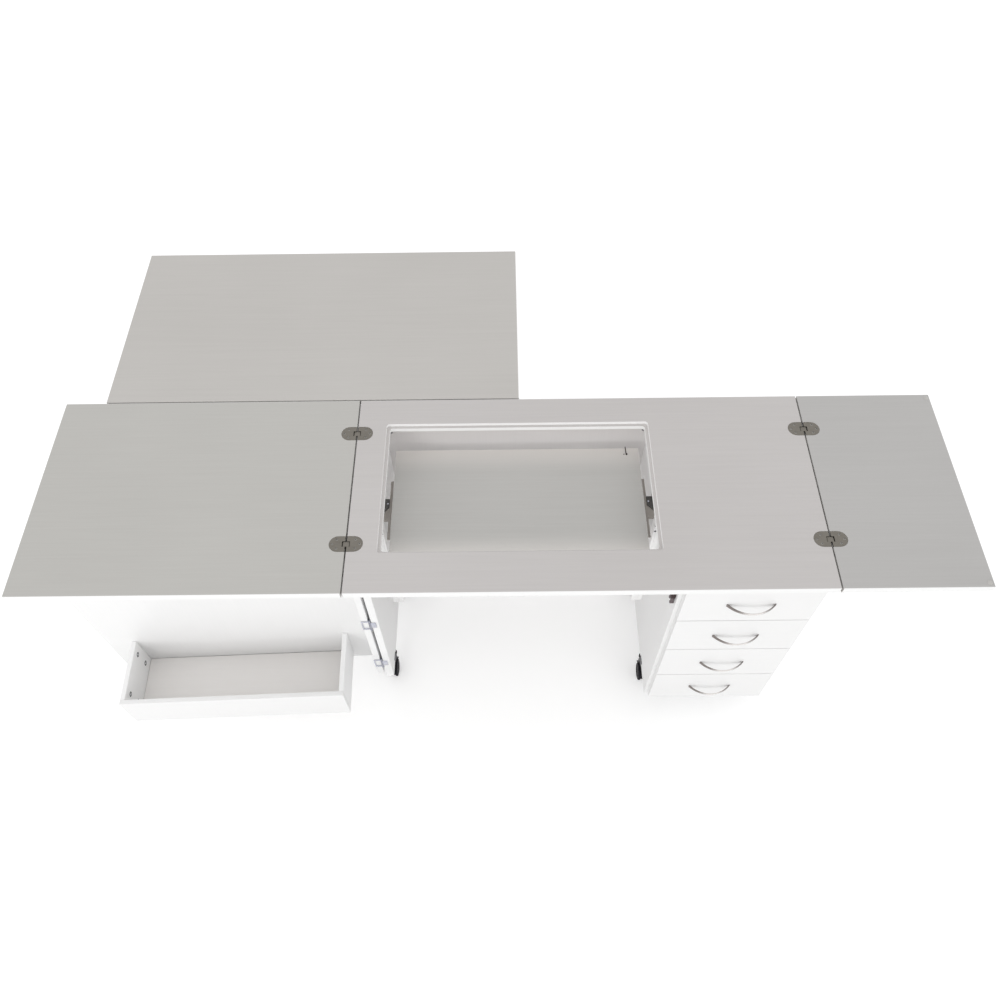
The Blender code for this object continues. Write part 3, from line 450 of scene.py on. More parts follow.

# Painted shade: the tops' laminate is a grey copy of the white boards, darker for the lesser light that
# level faces get.
SHADED_TOP_LIGHT, SHADED_TOP_DARK = (0.564, 0.554, 0.538), (0.520, 0.510, 0.494)
WHITE_LIGHT, WHITE_DARK = (0.871, 0.869, 0.866), (0.841, 0.839, 0.836)
EDGE_BAND = BoardFinish("white_edge_band", (0.90, 0.90, 0.895), (0.87, 0.87, 0.865),
                        Grain.ALONG_X, 2.0, 30.0, 60.0, 0.04, (0.34, 0.44))
# Painted light: a whiter copy of the edge band for the walls of the lift opening and the lift's guide
# boards, so they look brighter than the light that reaches into the opening.
LIT_RIM_WHITE = BoardFinish("white_rim_painted_light", (0.96, 0.955, 0.95), (0.94, 0.935, 0.93),
                        Grain.ALONG_Z, 3.0, 30.0, 60.0, 0.04, (0.34, 0.44))
# Painted shade: the upright walls where the top boards meet take a darker grey than the laminate, for the
# shade in the narrow seams.
SEAM_SHADE_GREY = BoardFinish("seam_painted_shade", (0.50, 0.485, 0.465), (0.44, 0.426, 0.408),
                        Grain.ALONG_Y, 8.0, 30.0, 60.0, 0.04)
BACKING = BoardFinish("white_backing", WHITE_LIGHT, WHITE_DARK, Grain.ALONG_X, 9.0, 8.0, 90.0, 0.05)
# Painted shade: a greyer copy of the white for the back panel's face that looks to the front, which lies in
# shade under the centre top; its other faces stay white.
SHADED_BACK_FACE = BoardFinish("back_board_painted_shade", (0.710, 0.686, 0.678), (0.682, 0.658, 0.650),
                         Grain.ALONG_Z, 7.0)
UPRIGHT_WHITE = BoardFinish("white_board_upright", WHITE_LIGHT, WHITE_DARK, Grain.ALONG_Z, 1.0)
# Painted light: the panels and the bin's ends take a whiter copy of the white, so that their faces in the
# knee hole and at the sides look brighter.
LIT_PANEL_WHITE = BoardFinish("white_panel_painted_light", (0.930, 0.929, 0.927), (0.900, 0.899, 0.897), Grain.ALONG_Z, 1.0)
# Painted light: the door takes a whiter copy of the white on all faces but the one that looks back, for the
# shade that the left leaf casts on its inner face.
LIT_DOOR_WHITE = BoardFinish("white_door_painted_light", (0.893, 0.892, 0.890), (0.863, 0.862, 0.860), Grain.ALONG_Z, 10.0)
LEVEL_WHITE = BoardFinish("white_board_level", WHITE_LIGHT, WHITE_DARK, Grain.ALONG_X, 6.0)
# Painted light: the bin's floor takes a whiter, warmer copy of the white, for the shade of the bin's walls.
LIT_TRAY_WHITE = BoardFinish("tray_floor_painted_light", (0.910, 0.886, 0.865), (0.880, 0.856, 0.835),
                         Grain.ALONG_X, 4.0)
# Painted shade and light: the platform is a grey copy of the white laminate for the shade in the lift's
# well, and its front and rear edges are painted paler for light.
SHADED_PLATFORM = EdgeLitBoard("grey_platform", (0.522, 0.514, 0.496), (0.477, 0.468, 0.450), shift=11.0,
                            edge_light=(0.775, 0.742, 0.710), middle=CORNER.y + 0.272, half=0.170)
DULL_NICKEL = MetalFinish("dull_nickel", (0.245, 0.228, 0.202), (0.182, 0.169, 0.148), (0.38, 0.52))
# Painted shade: near black for the leaf-hinge plates' faces that look into the seam, and for their screws'
# cross recesses.
SHADE_BLACK = MetalFinish("painted_shade_black", (0.030, 0.028, 0.026), (0.018, 0.017, 0.016), (0.55, 0.70),
                        metallic=0.0)
SCREW_NICKEL = MetalFinish("screw_nickel", (0.40, 0.385, 0.36), (0.28, 0.27, 0.25), (0.22, 0.34))
BRIGHT_NICKEL = MetalFinish("bright_nickel", (0.60, 0.61, 0.68), (0.46, 0.47, 0.54), (0.12, 0.24),
                            Grain.ALONG_Z)
KNUCKLE_NICKEL = MetalFinish("knuckle_nickel", (0.36, 0.37, 0.43), (0.26, 0.27, 0.33), (0.18, 0.30),
                             Grain.ALONG_Z)
GREY_STEEL = MetalFinish("grey_steel", (0.52, 0.52, 0.53), (0.42, 0.42, 0.43), (0.30, 0.44))
CHROME_ROD = MetalFinish("chrome_rod", (0.80, 0.80, 0.81), (0.70, 0.70, 0.72), (0.06, 0.14), Grain.ALONG_Z)
PAINTED_STEEL = MetalFinish("grey_brown_paint", (0.40, 0.368, 0.340), (0.34, 0.310, 0.284), (0.45, 0.60),
                            metallic=0.0)
WHITE_STEEL = MetalFinish("white_powder_coat", (0.82, 0.82, 0.815), (0.77, 0.77, 0.765), (0.40, 0.55),
                          metallic=0.0)
CHARCOAL_STEEL = MetalFinish("charcoal_paint", (0.090, 0.087, 0.083), (0.060, 0.058, 0.055), (0.40, 0.56),
                             metallic=0.0)
BROWN_STEEL = MouldedFinish("brown_lacquer", (0.042, 0.021, 0.021), (0.020, 0.010, 0.010), (0.40, 0.55),
                            900.0, shine=0.15)
BROWN_TONGUE = MetalFinish("brown_grey_steel", (0.19, 0.155, 0.16), (0.13, 0.10, 0.105), (0.36, 0.50))
DARK_SCREW = MetalFinish("dark_screw", (0.16, 0.16, 0.175), (0.09, 0.09, 0.10), (0.30, 0.45))
BLACK_PLASTIC = MouldedFinish("black_plastic", (0.014, 0.013, 0.017), (0.006, 0.005, 0.008), (0.34, 0.50),
                              shine=0.14)
BLACK_TREAD = MouldedFinish("black_tread", (0.017, 0.015, 0.020), (0.008, 0.007, 0.010), (0.52, 0.70),
                            900.0, shine=0.12)
CLEAR_RUBBER = MouldedFinish("clear_rubber", (0.56, 0.55, 0.53), (0.47, 0.46, 0.44), (0.25, 0.40))


# Shaping

def copy_of(node: str) -> BMesh:
    """Copies a CAD node's mesh, merged and with its flat faces made whole.

    Args:
        node: the node's name.

    Returns:
        The copy.
    """
    bm = bmesh.new()
    bm.from_mesh(frame["nodes"][node].data)
    bmesh.ops.remove_doubles(bm, verts=bm.verts, dist=SAME)
    bmesh.ops.dissolve_limit(bm, angle_limit=math.radians(FLAT_DEG), use_dissolve_boundaries=False,
                             verts=bm.verts, edges=bm.edges)
    bm.normal_update()
    return bm


def corner_edges(bm: BMesh, degrees: float = CORNER_DEG) -> list[BMEdge]:
    """Returns the edges that stand out, with faces that turn by more than the given angle."""
    limit = math.radians(degrees)
    return [e for e in bm.edges if e.is_manifold and e.is_convex and e.calc_face_angle() > limit]


def outline_edges(bm: BMesh, low: Vector, high: Vector) -> list[BMEdge]:
    """Finds the edges that lie on the twelve edges of a box.

    Args:
        bm: the mesh to look through.
        low: the box's lowest corner.
        high: the box's highest corner.

    Returns:
        The edges whose two ends share two of the box's faces.
    """
    sides = [(i, side) for i in range(3) for side in (low[i], high[i])]
    found = []
    for edge in bm.edges:
        shared = [i for i, side in sides if all(abs(v.co[i] - side) < SAME for v in edge.verts)]
        if len(shared) >= 2:
            found.append(edge)
    return found


def soften(bm: BMesh, edges: Sequence[BMEdge], radius: float, segments: int = 3) -> BMesh:
    """Rounds some edges of a mesh.

    Args:
        bm: the mesh.
        edges: the edges to round.
        radius: how far the rounding reaches.
        segments: the faces across it.

    Returns:
        The same mesh.
    """
    bmesh.ops.bevel(bm, geom=list(edges), offset=radius, segments=segments, profile=0.5,
                    affect="EDGES", material=-1, clamp_overlap=True)
    bm.normal_update()
    return bm


def eased_box(low: Vector, high: Vector, radius: float, segments: int = 3) -> BMesh:
    """Makes a box with all its edges rounded.

    Args:
        low: its lowest corner.
        high: its highest corner.
        radius: how far the rounding reaches.
        segments: the faces across it.

    Returns:
        The box.
    """
    bm = bmesh.new()
    bmesh.ops.create_cube(bm, size=1.0)
    bmesh.ops.scale(bm, vec=high - low, verts=bm.verts)
    bmesh.ops.translate(bm, vec=(low + high) / 2, verts=bm.verts)
    return soften(bm, bm.edges[:], radius, segments)


def turned(profile: Sequence[Spot], steps: int = 32) -> BMesh:
    """Turns a solid about the Z axis.

    Args:
        profile: radius and height of the points of its section, from the axis round to the axis.
        steps: facets in a full turn.

    Returns:
        The closed solid, with its faces pointing out.
    """
    bm = bmesh.new()
    points = [bm.verts.new((radius, 0.0, height)) for radius, height in profile]
    edges = [bm.edges.new(pair) for pair in zip(points, points[1:])]
    bmesh.ops.spin(bm, geom=points + edges, cent=ORIGIN, axis=AXES["Z"], dvec=ORIGIN,
                   angle=math.tau, steps=steps, use_merge=True)
    bmesh.ops.remove_doubles(bm, verts=bm.verts, dist=WELD)
    bmesh.ops.recalc_face_normals(bm, faces=bm.faces)
    return bm


def rod(start: Vector, end: Vector, radius: float, ease: float, steps: int = 24) -> BMesh:
    """Makes a round bar with its ends eased.

    Args:
        start: the middle of one end.
        end: the middle of the other end.
        radius: the bar's radius.
        ease: the bevel at both ends.
        steps: facets in a full turn.

    Returns:
        The bar.
    """
    along = end - start
    length = along.length
    bm = turned(((0.0, 0.0), (radius - ease, 0.0), (radius, ease), (radius, length - ease),
                 (radius - ease, length), (0.0, length)), steps)
    turn = along.to_track_quat("Z", "Y").to_matrix().to_4x4()
    return moved(bm, Matrix.Translation(start) @ turn)


def moved(bm: BMesh, matrix: Matrix) -> BMesh:
    """Moves a mesh and returns it."""
    bmesh.ops.transform(bm, matrix=matrix, verts=bm.verts)
    return bm


def outline() -> BMesh:
    """Makes the outline of a square of 1 m that lies flat.

    Returns:
        The outline, without a face.
    """
    bm = bmesh.new()
    bmesh.ops.create_grid(bm, x_segments=1, y_segments=1, size=0.5)
    bmesh.ops.delete(bm, geom=bm.faces[:], context="FACES_ONLY")
    return bm


def spun(bm: BMesh, axis: str, angle: float) -> BMesh:
    """Turns a mesh about an axis through the origin and returns it."""
    bmesh.ops.rotate(bm, cent=ORIGIN, matrix=Matrix.Rotation(angle, 3, axis), verts=bm.verts)
    return bm


def swept(bm: BMesh, axis: str, start: float, angle: float, steps: int) -> BMesh:
    """Sweeps an outline about an axis through the origin, which leaves both ends open.

    Args:
        bm: the outline, which becomes the sweep.
        axis: X or Z.
        start: how far the outline is turned first.
        angle: how far it is then swept.
        steps: facets along the sweep.

    Returns:
        The sweep.
    """
    spun(bm, axis, start)
    bmesh.ops.spin(bm, geom=bm.verts[:] + bm.edges[:], cent=ORIGIN, axis=AXES[axis], dvec=ORIGIN,
                   angle=angle, steps=steps)
    return bm


def closed(bm: BMesh) -> BMesh:
    """Closes the open ends of a mesh.

    Args:
        bm: the mesh.

    Returns:
        The same mesh, with its faces pointing out.
    """
    bmesh.ops.holes_fill(bm, edges=[e for e in bm.edges if e.is_boundary], sides=0)
    bmesh.ops.recalc_face_normals(bm, faces=bm.faces)
    return bm


def cut_off(bm: BMesh, place: Vector, normal: Place) -> BMesh:
    """Cuts a mesh along a plane and closes the cut.

    Args:
        bm: the mesh.
        place: a point on the plane.
        normal: the way to the side that is cut off.

    Returns:
        The same mesh, with what is left.
    """
    bmesh.ops.bisect_plane(bm, geom=bm.verts[:] + bm.edges[:] + bm.faces[:], plane_co=place,
                           plane_no=normal, clear_outer=True)
    return closed(bm)


def settled(bm: BMesh, name: str) -> Mesh:
    """Makes mesh data of a mesh in work.

    Args:
        bm: the mesh in work, which is used up.
        name: the new data's name.

    Returns:
        The mesh data.
    """
    mesh = bpy.data.meshes.new(name)
    bm.to_mesh(mesh)
    bm.free()
    return mesh


def in_scene(name: str, data: ID) -> Object:
    """Puts an object with the given data into the scene.

    Args:
        name: the object's name.
        data: its mesh, light or camera.

    Returns:
        The object.
    """
    holder = bpy.data.objects.new(name, data)
    bpy.context.scene.collection.objects.link(holder)
    return holder


def joined(parts: Sequence[BMesh]) -> BMesh:
    """Joins several meshes.

    Args:
        parts: the meshes, which are used up.

    Returns:
        One mesh that holds them all.
    """
    whole = bmesh.new()
    for part in parts:
        mesh = settled(part, "part")
        whole.from_mesh(mesh)
        bpy.data.meshes.remove(mesh)
    return whole


def carve(bm: BMesh, cutters: Sequence[BMesh]) -> BMesh:
    """Cuts shapes out of a solid.

    Args:
        bm: the solid, which is used up.
        cutters: closed shapes, which are used up.

    Returns:
        What is left of the solid.
    """
    holders = []
    for part in (bm, *cutters):
        bmesh.ops.recalc_face_normals(part, faces=part.faces)
        holders.append(in_scene("carving", settled(part, "carving")))
    for cutter in holders[1:]:
        step = holders[0].modifiers.new("carve", "BOOLEAN")
        step.operation = "DIFFERENCE"
        step.solver = "EXACT"
        step.object = cutter
    graph = bpy.context.evaluated_depsgraph_get()
    result = bpy.data.meshes.new_from_object(holders[0].evaluated_get(graph))
    left = bmesh.new()
    left.from_mesh(result)
    bpy.data.meshes.remove(result)
    for holder in holders:
        mesh = holder.data
        bpy.data.objects.remove(holder, do_unlink=True)
        bpy.data.meshes.remove(mesh)
    return left


def paint(bm: BMesh, index: int, chosen: Callable[[BMFace], bool]) -> None:
    """Gives some faces a finish.

    Args:
        bm: the mesh.
        index: the finish's place in the piece's list.
        chosen: tells which faces get it.
    """
    for face in bm.faces:
        if chosen(face):
            face.material_index = index


def hand_over(name: str, bm: BMesh, finishes: Sequence[Finish], body: str, nodes: Sequence[str] = (),
              round_deg: float = 0.0) -> None:
    """Makes a finished piece of a mesh and hands it to a body of the frame.

    Args:
        name: the piece's name.
        bm: its mesh, in place, which is used up.
        finishes: its finishes, in the order of the faces' material numbers.
        body: the CAD body that it rides on.
        nodes: the CAD nodes that it stands for.
        round_deg: faces that turn by less than this are shaded as one round surface.
    """
    bmesh.ops.recalc_face_normals(bm, faces=bm.faces)
    paint(bm, 0, lambda face: face.material_index >= len(finishes))
    mesh = settled(bm, name)
    for finish in finishes:
        mesh.materials.append(finish.material())
    if round_deg > 0.0:
        mesh.shade_smooth()
        mesh.set_sharp_from_angle(angle=math.radians(round_deg))
    piece = in_scene(name, mesh)
    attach(piece, body)
    if nodes:
        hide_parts(*nodes)
    LOG.info("%s: %d faces on %s", name, len(mesh.polygons), body)


FACING_UP = Matrix.Identity(4)
FACING_FRONT = Matrix.Rotation(QUARTER, 4, "X")
FACING_BACK = Matrix.Rotation(-QUARTER, 4, "X")
FACING_RIGHT = Matrix.Rotation(QUARTER, 4, "Y")
FACING_LEFT = Matrix.Rotation(-QUARTER, 4, "Y")
FACING_DOWN = Matrix.Rotation(2 * QUARTER, 4, "X")


def aimed(place: Vector, facing: Matrix, spin_deg: float = 0.0) -> Matrix:
    """Returns where a small fitting goes: its place, the way it faces and its turn about that."""
    return Matrix.Translation(place) @ facing @ Matrix.Rotation(math.radians(spin_deg), 4, "Z")


def spaced(start: float, end: float, count: int) -> list[float]:
    """Returns evenly spaced places between two ends, half a gap away from either."""
    gap = (end - start) / count
    return [start + (i + 0.5) * gap for i in range(count)]


def set_out(shape: Callable[[], BMesh], places: Sequence[Matrix]) -> BMesh:
    """Returns copies of a shape at several places as one mesh."""
    return joined([moved(shape(), place) for place in places])


@dataclass(frozen=True)
class Screw:
    """A countersunk screw head with a cross recess; it stands on the origin and faces up."""

    radius: float = 0.0027
    deep: float = 0.0014
    crown: float = 0.0003
    recess: float = 0.0007
    arm_share: float = 0.62
    slot_share: float = 0.16
    room: float = 0.00035
    room_under: float = 0.0002
    lip: float = 0.0001
    above: float = 0.001
    steps: int = 20

    def head(self) -> BMesh:
        """Makes the head of the screw.

        Returns:
            The head, with the faces of its recess painted apart.
        """
        r, crown = self.radius, self.crown
        bm = turned(((0.0, crown), (0.55 * r, 0.8 * crown), (0.9 * r, 0.25 * crown), (r, 0.0),
                     (0.5 * r, -self.deep), (0.0, -self.deep)), self.steps)
        arm, half = self.arm_share * r, self.slot_share * r
        cross = []
        for x, y in ((arm, half), (half, arm)):
            low, high = Vector((-x, -y, -self.recess)), Vector((x, y, 2.0 * crown))
            cross.append(eased_box(low, high, 0.1 * half, 1))
        bm = carve(bm, cross)
        paint(bm, 1, self.in_recess)
        return bm

    def in_recess(self, face: BMFace) -> bool:
        """Tells whether a face of the head belongs to its cross recess."""
        middle = face.calc_center_median()
        return middle.z < -self.lip and middle.xy.length < self.arm_share * self.radius

    def sink(self) -> BMesh:
        """Returns the countersink that the head lies in, as a shape to cut."""
        wide, floor = self.radius + self.room, -self.deep - self.room_under
        return turned(((0.0, self.above), (wide, self.above), (wide, 0.0), (0.5 * self.radius, floor),
                       (0.0, floor)), self.steps)

    def drive(self, name: str, places: Sequence[Matrix], finishes: Sequence[Finish], body: str,
              slot: str = "steel") -> None:
        """Makes one piece of several such screws, which rides on the given body."""
        hand_over(name, set_out(self.head, places), finishes, body, (), SCREW_ROUND_DEG)


# Sub-assemblies

class TopFinish(IntEnum):
    """The finishes of a top board, in the order of its faces' material numbers."""

    LAMINATE = 0
    EDGE = 1
    UNDER = 2
    SEAM_SHADE = 3
    RIM = 4


@dataclass
class Tops:
    """The centre top with its stepped lift opening, and the three leaves."""

    ease: float = 0.0012
    rim_ease: float = 0.0016
    rim_step: float = 0.008
    opening: tuple[float, float, float, float] = (0.065, 0.095, 0.6685, 0.4365)
    margin: float = 0.001
    under_play: float = 0.0001
    seam_play: float = 0.0002
    # What a face's normal has at least along an axis to be level, to lean that way or to look back.
    level: float = 0.99
    leaning: float = 0.1
    front_wall: float = 0.5
    sheets: tuple[tuple[str, str, float, Colour], ...] = (
        ("centre_top", "cabinet", 0.0, (1.035, 1.012, 1.025)),
        ("left_leaf", "left_leaf", 3.7, (0.945, 0.945, 0.928)),
        ("right_leaf", "right_leaf", 8.1, (0.885, 0.885, 0.893)),
        ("quilt_leaf", "quilt_leaf", 14.2, (0.995, 0.980, 0.967)),
    )
    seam_sides: tuple[tuple[str, tuple[int, int]], ...] = (
        ("centre_top", (-1, 0)), ("centre_top", (1, 0)), ("left_leaf", (1, 0)), ("right_leaf", (-1, 0)),
        ("quilt_leaf", (0, -1)))

    def build(self) -> None:
        """Builds the four boards, each with its own part of the laminate's pattern and its own tint."""
        for node, body, shift, tint in self.sheets:
            self.board(node, body, shift, tint)

    def board(self, node: str, body: str, shift: float, tint: Colour) -> None:
        """Builds one top board.

        Args:
            node: the CAD node that it stands for.
            body: the body that it rides on.
            shift: where in the laminate's pattern it was cut.
            tint: the factors on the common colour for this board's laminate.
        """
        bm = copy_of(node)
        low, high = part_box(node)
        has_opening = node == "centre_top"
        if has_opening:
            soften(bm, self.rim_edges(bm), self.rim_ease)
        soften(bm, outline_edges(bm, low, high), self.ease)
        for face in bm.faces:
            face.material_index = self.finish_of(face, node, low, high)
        # The laminate takes the painted grey shade, scaled by the board's tint.
        light, dark = (tuple(t * c for t, c in zip(tint, colour)) for colour in (SHADED_TOP_LIGHT, SHADED_TOP_DARK))
        laminate = BoardFinish(f"laminate_{node}", light, dark, Grain.ALONG_X, shift)
        finishes = [laminate, EDGE_BAND, BACKING, SEAM_SHADE_GREY]
        if has_opening:
            finishes.append(LIT_RIM_WHITE)
        hand_over(f"{node}_board", bm, finishes, body, (node,))

    def finish_of(self, face: BMFace, node: str, low: Vector, high: Vector) -> TopFinish:
        """Chooses the finish of a face.

        Args:
            face: the face in question.
            node: the board's CAD node.
            low: the board's lowest corner.
            high: the board's highest corner.

        Returns:
            The finish.
        """
        middle, up = face.calc_center_median(), face.normal.z
        # Along a seam the rounded edge keeps the laminate, and the upright wall takes the painted shade of
        # the gap.
        if self.at_seam(node, face, low, high):
            return TopFinish.LAMINATE if up > self.leaning else TopFinish.SEAM_SHADE
        if up > self.level:
            return TopFinish.LAMINATE
        if up < -self.level and middle.z < low.z + self.under_play:
            return TopFinish.UNDER
        if self.opening_holds(middle) and face.normal.y < self.front_wall:
            return TopFinish.RIM
        return TopFinish.EDGE

    def opening_holds(self, point: Vector) -> bool:
        """Tells whether a point lies in the lift opening or at its walls.

        Args:
            point: the point, at any height.

        Returns:
            True within the opening and a small margin.
        """
        left, front, right, rear = self.opening
        low = spot(left - self.margin, front - self.margin, 0.0)
        high = spot(right + self.margin, rear + self.margin, 0.0)
        return low.x < point.x < high.x and low.y < point.y < high.y

    def rim_edges(self, bm: BMesh) -> list[BMEdge]:
        """Finds the upper edges of the opening's two steps.

        Args:
            bm: the centre top's mesh.

        Returns:
            The edges.
        """
        found = []
        for edge in corner_edges(bm):
            ends = [v.co for v in edge.verts]
            level = any(all(abs(end.z - z) < SAME for end in ends) for z in (TOP_Z, TOP_Z - self.rim_step))
            if level and all(self.opening_holds(end) for end in ends):
                found.append(edge)
        return found

    def at_seam(self, node: str, face: BMFace, low: Vector, high: Vector) -> bool:
        """Tells whether a face belongs to an edge that meets the next board.

        Args:
            node: the board's CAD node.
            face: the face in question.
            low: the board's lowest corner.
            high: the board's highest corner.

        Returns:
            True for the upright faces and rounded edges along a seam.
        """
        middle = face.calc_center_median()
        for board, (sx, sy) in self.seam_sides:
            along = sx * face.normal.x + sy * face.normal.y
            edge = low if sx + sy < 0 else high
            gap = abs(middle.x - edge.x) if sx else abs(middle.y - edge.y)
            if board == node and along > self.leaning and gap < self.ease + self.seam_play:
                return True
        return False


@dataclass
class LeafHinges:
    """The four flush hinges of the folding leaves."""

    rows: tuple[tuple[str, float], ...] = (("front", 0.118), ("rear", 0.411))
    seams: tuple[tuple[str, float, int], ...] = (("left", -0.0015, -1), ("right", 1.0235, 1))
    screw_spots: tuple[Spot, ...] = ((0.0200, 0.0108), (0.0200, -0.0108), (0.0292, 0.0))
    screw: Screw = Screw()
    screw_drop: float = 0.0003
    # The first screw's turn, the turn from screw to screw and the turn for each metre of Y.
    spin_deg: Place = (25.0, 37.0, 400.0)
    ease: float = 0.0005
    link_ease: float = 0.0003
    seam_shade_reach: float = 0.003
    seam_shade_turn: float = 0.7
    plate_round_deg: float = 25.0

    def build(self) -> None:
        """Builds both plates, the link and the screws of each hinge."""
        for seam, x, out in self.seams:
            for row, y in self.rows:
                hinge = f"{seam}_{row}_hinge"
                self.plate(f"{hinge}_centre_plate", "cabinet", x, y, -out)
                self.plate(f"{hinge}_leaf_plate", f"{seam}_leaf", x, y, out)
                link = copy_of(f"{hinge}_link")
                soften(link, corner_edges(link, SHARP_DEG), self.link_ease, 2)
                hand_over(f"{hinge}_bridge", link, (DULL_NICKEL,), f"{seam}_links", (f"{hinge}_link",),
                          ROD_ROUND_DEG)

    def plate(self, node: str, body: str, x: float, y: float, sign: int) -> None:
        """Builds one half of a hinge with its three countersunk screws.

        Args:
            node: the CAD node that it stands for.
            body: the body that it rides on.
            x: the middle of the seam.
            y: the middle of the hinge.
            sign: the way from the seam to the half, along X.
        """
        first, each, by_y = self.spin_deg
        places = []
        for i, (u, v) in enumerate(self.screw_spots):
            place = spot(x + sign * u, y + v, TOP_Z - self.screw_drop)
            places.append(aimed(place, FACING_UP, first + each * i + by_y * y))
        bm = copy_of(node)
        rim = [e for e in corner_edges(bm, SHARP_DEG) if all(v.co.z > TOP_Z - SAME for v in e.verts)]
        soften(bm, rim, self.ease, 2)
        bm = carve(bm, [moved(self.screw.sink(), place) for place in places])
        bm.normal_update()
        # Painted shade: the plate's faces that look into the seam take the near-black finish.
        seam = CORNER.x + x
        paint(bm, 1, lambda face: (face.normal.x * sign < -self.seam_shade_turn
                                   and abs(face.calc_center_median().x - seam) < self.seam_shade_reach))
        hand_over(f"{node}_metal", bm, (DULL_NICKEL, SHADE_BLACK), body, (node,),
                  self.plate_round_deg)
        # The screws' cross recesses take the near-black painted shade.
        self.screw.drive(f"{node}_screws", places, (SCREW_NICKEL, SHADE_BLACK), body, "zinc")


@dataclass
class Carcass:
    """The upright panels, the back and the pedestal's floor."""

    ease: float = 0.0010
    panels: tuple[str, ...] = ("left_side_panel", "pedestal_left_panel", "pedestal_right_panel")

    def build(self) -> None:
        """Builds the five boards."""
        for node in self.panels:
            self.board(node, LIT_PANEL_WHITE)
        self.board("pedestal_floor", LEVEL_WHITE)
        self.board("back_panel", LIT_PANEL_WHITE, SHADED_BACK_FACE)

    def board(self, node: str, finish: BoardFinish, inside: BoardFinish | None = None) -> None:
        """Builds one board with banded edges.

        Args:
            node: the CAD node that it stands for.
            finish: its faces' finish.
            inside: another finish for the face that looks to the front, if it has one; the back panel's is
                a painted shade.
        """
        bm = copy_of(node)
        low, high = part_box(node)
        thin = min(range(3), key=lambda i: high[i] - low[i])
        soften(bm, outline_edges(bm, low, high), self.ease)
        paint(bm, 1, lambda face: abs(face.normal[thin]) < SQUARE_ON)
        finishes = [finish, EDGE_BAND]
        if inside:
            # The face that looks to the front takes the painted shade when a second finish is given.
            paint(bm, 2, lambda face: face.normal.y < -SQUARE_ON)
            finishes.append(inside)
        hand_over(f"{node}_board", bm, finishes, "cabinet", (node,))


@dataclass
class Drawers:
    """Four drawers, each with an overlay front, a box and a strap pull."""

    count: int = 4
    ease: float = 0.0008
    box_ease: float = 0.0008
    sheet_shift: float = 1.7
    strap: float = 0.0024
    strap_ease: float = 0.0007
    middle_height: float = 0.0062
    end_height: float = 0.0110
    widening: float = 2.2
    overrun: float = 0.06
    # Where the painted reflection's bright middle sits, as a share of the half width right of the middle.
    reflection_spot: float = 0.10
    steps: int = 36
    edge_deg: float = 50.0
    round_deg: float = 40.0

    def build(self) -> None:
        """Builds the drawers from the top down."""
        for number in range(1, self.count + 1):
            body = f"drawer_{number}"
            node = f"drawer_{number}_front"
            bm = copy_of(node)
            soften(bm, outline_edges(bm, *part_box(node)), self.ease)
            finish = BoardFinish(f"white_front_{number}", WHITE_LIGHT, WHITE_DARK, Grain.ALONG_X,
                                 self.sheet_shift * number)
            hand_over(f"{node}_board", bm, (finish,), body, (node,))
            node = f"drawer_{number}_box"
            bm = copy_of(node)
            soften(bm, corner_edges(bm, SHARP_DEG), self.box_ease, 2)
            hand_over(f"{node}_boards", bm, (LEVEL_WHITE,), body, (node,))
            self.pull(f"drawer_{number}_handle", body)

    def pull(self, node: str, body: str) -> None:
        """Builds the bow pull of a drawer, a strap that widens towards its ends.

        Args:
            node: the CAD node that it stands for.
            body: the body that it rides on.
        """
        low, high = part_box(node)
        middle = (low + high) / 2
        half, rise = (high.x - low.x) / 2, high.y - low.y
        bend = (half * half + rise * rise) / (2 * rise)
        spread = math.asin(half / bend) + self.overrun
        bm = outline()
        for axis in ("Y", "X"):
            spun(bm, axis, QUARTER)
        bmesh.ops.scale(bm, vec=(1.0, self.strap, self.middle_height), verts=bm.verts)
        bmesh.ops.translate(bm, vec=(0.0, self.strap / 2 - bend, 0.0), verts=bm.verts)
        swept(bm, "Z", -spread, 2 * spread, self.steps)
        wider = self.end_height / self.middle_height - 1.0
        for vert in bm.verts:
            turn = abs(math.atan2(vert.co.x, -vert.co.y)) / spread
            vert.co.z *= 1.0 + wider * turn ** self.widening
        moved(bm, Matrix.Translation((middle.x, high.y + bend - rise, middle.z)))
        cut_off(bm, Vector((0.0, high.y, 0.0)), (0.0, 1.0, 0.0))
        soften(bm, corner_edges(bm, self.edge_deg), self.strap_ease, 2)
        # The strap's colour carries a painted reflection, bright round the middle and dark at the ends.
        finish = ReflectionPaintedMetal("satin_nickel", (0.78, 0.75, 0.73), (0.17, 0.145, 0.135), (0.18, 0.30),
                           middle.x + self.reflection_spot * half, half)
        hand_over(f"{node}_strap", bm, (finish,), body, (node,), self.round_deg)


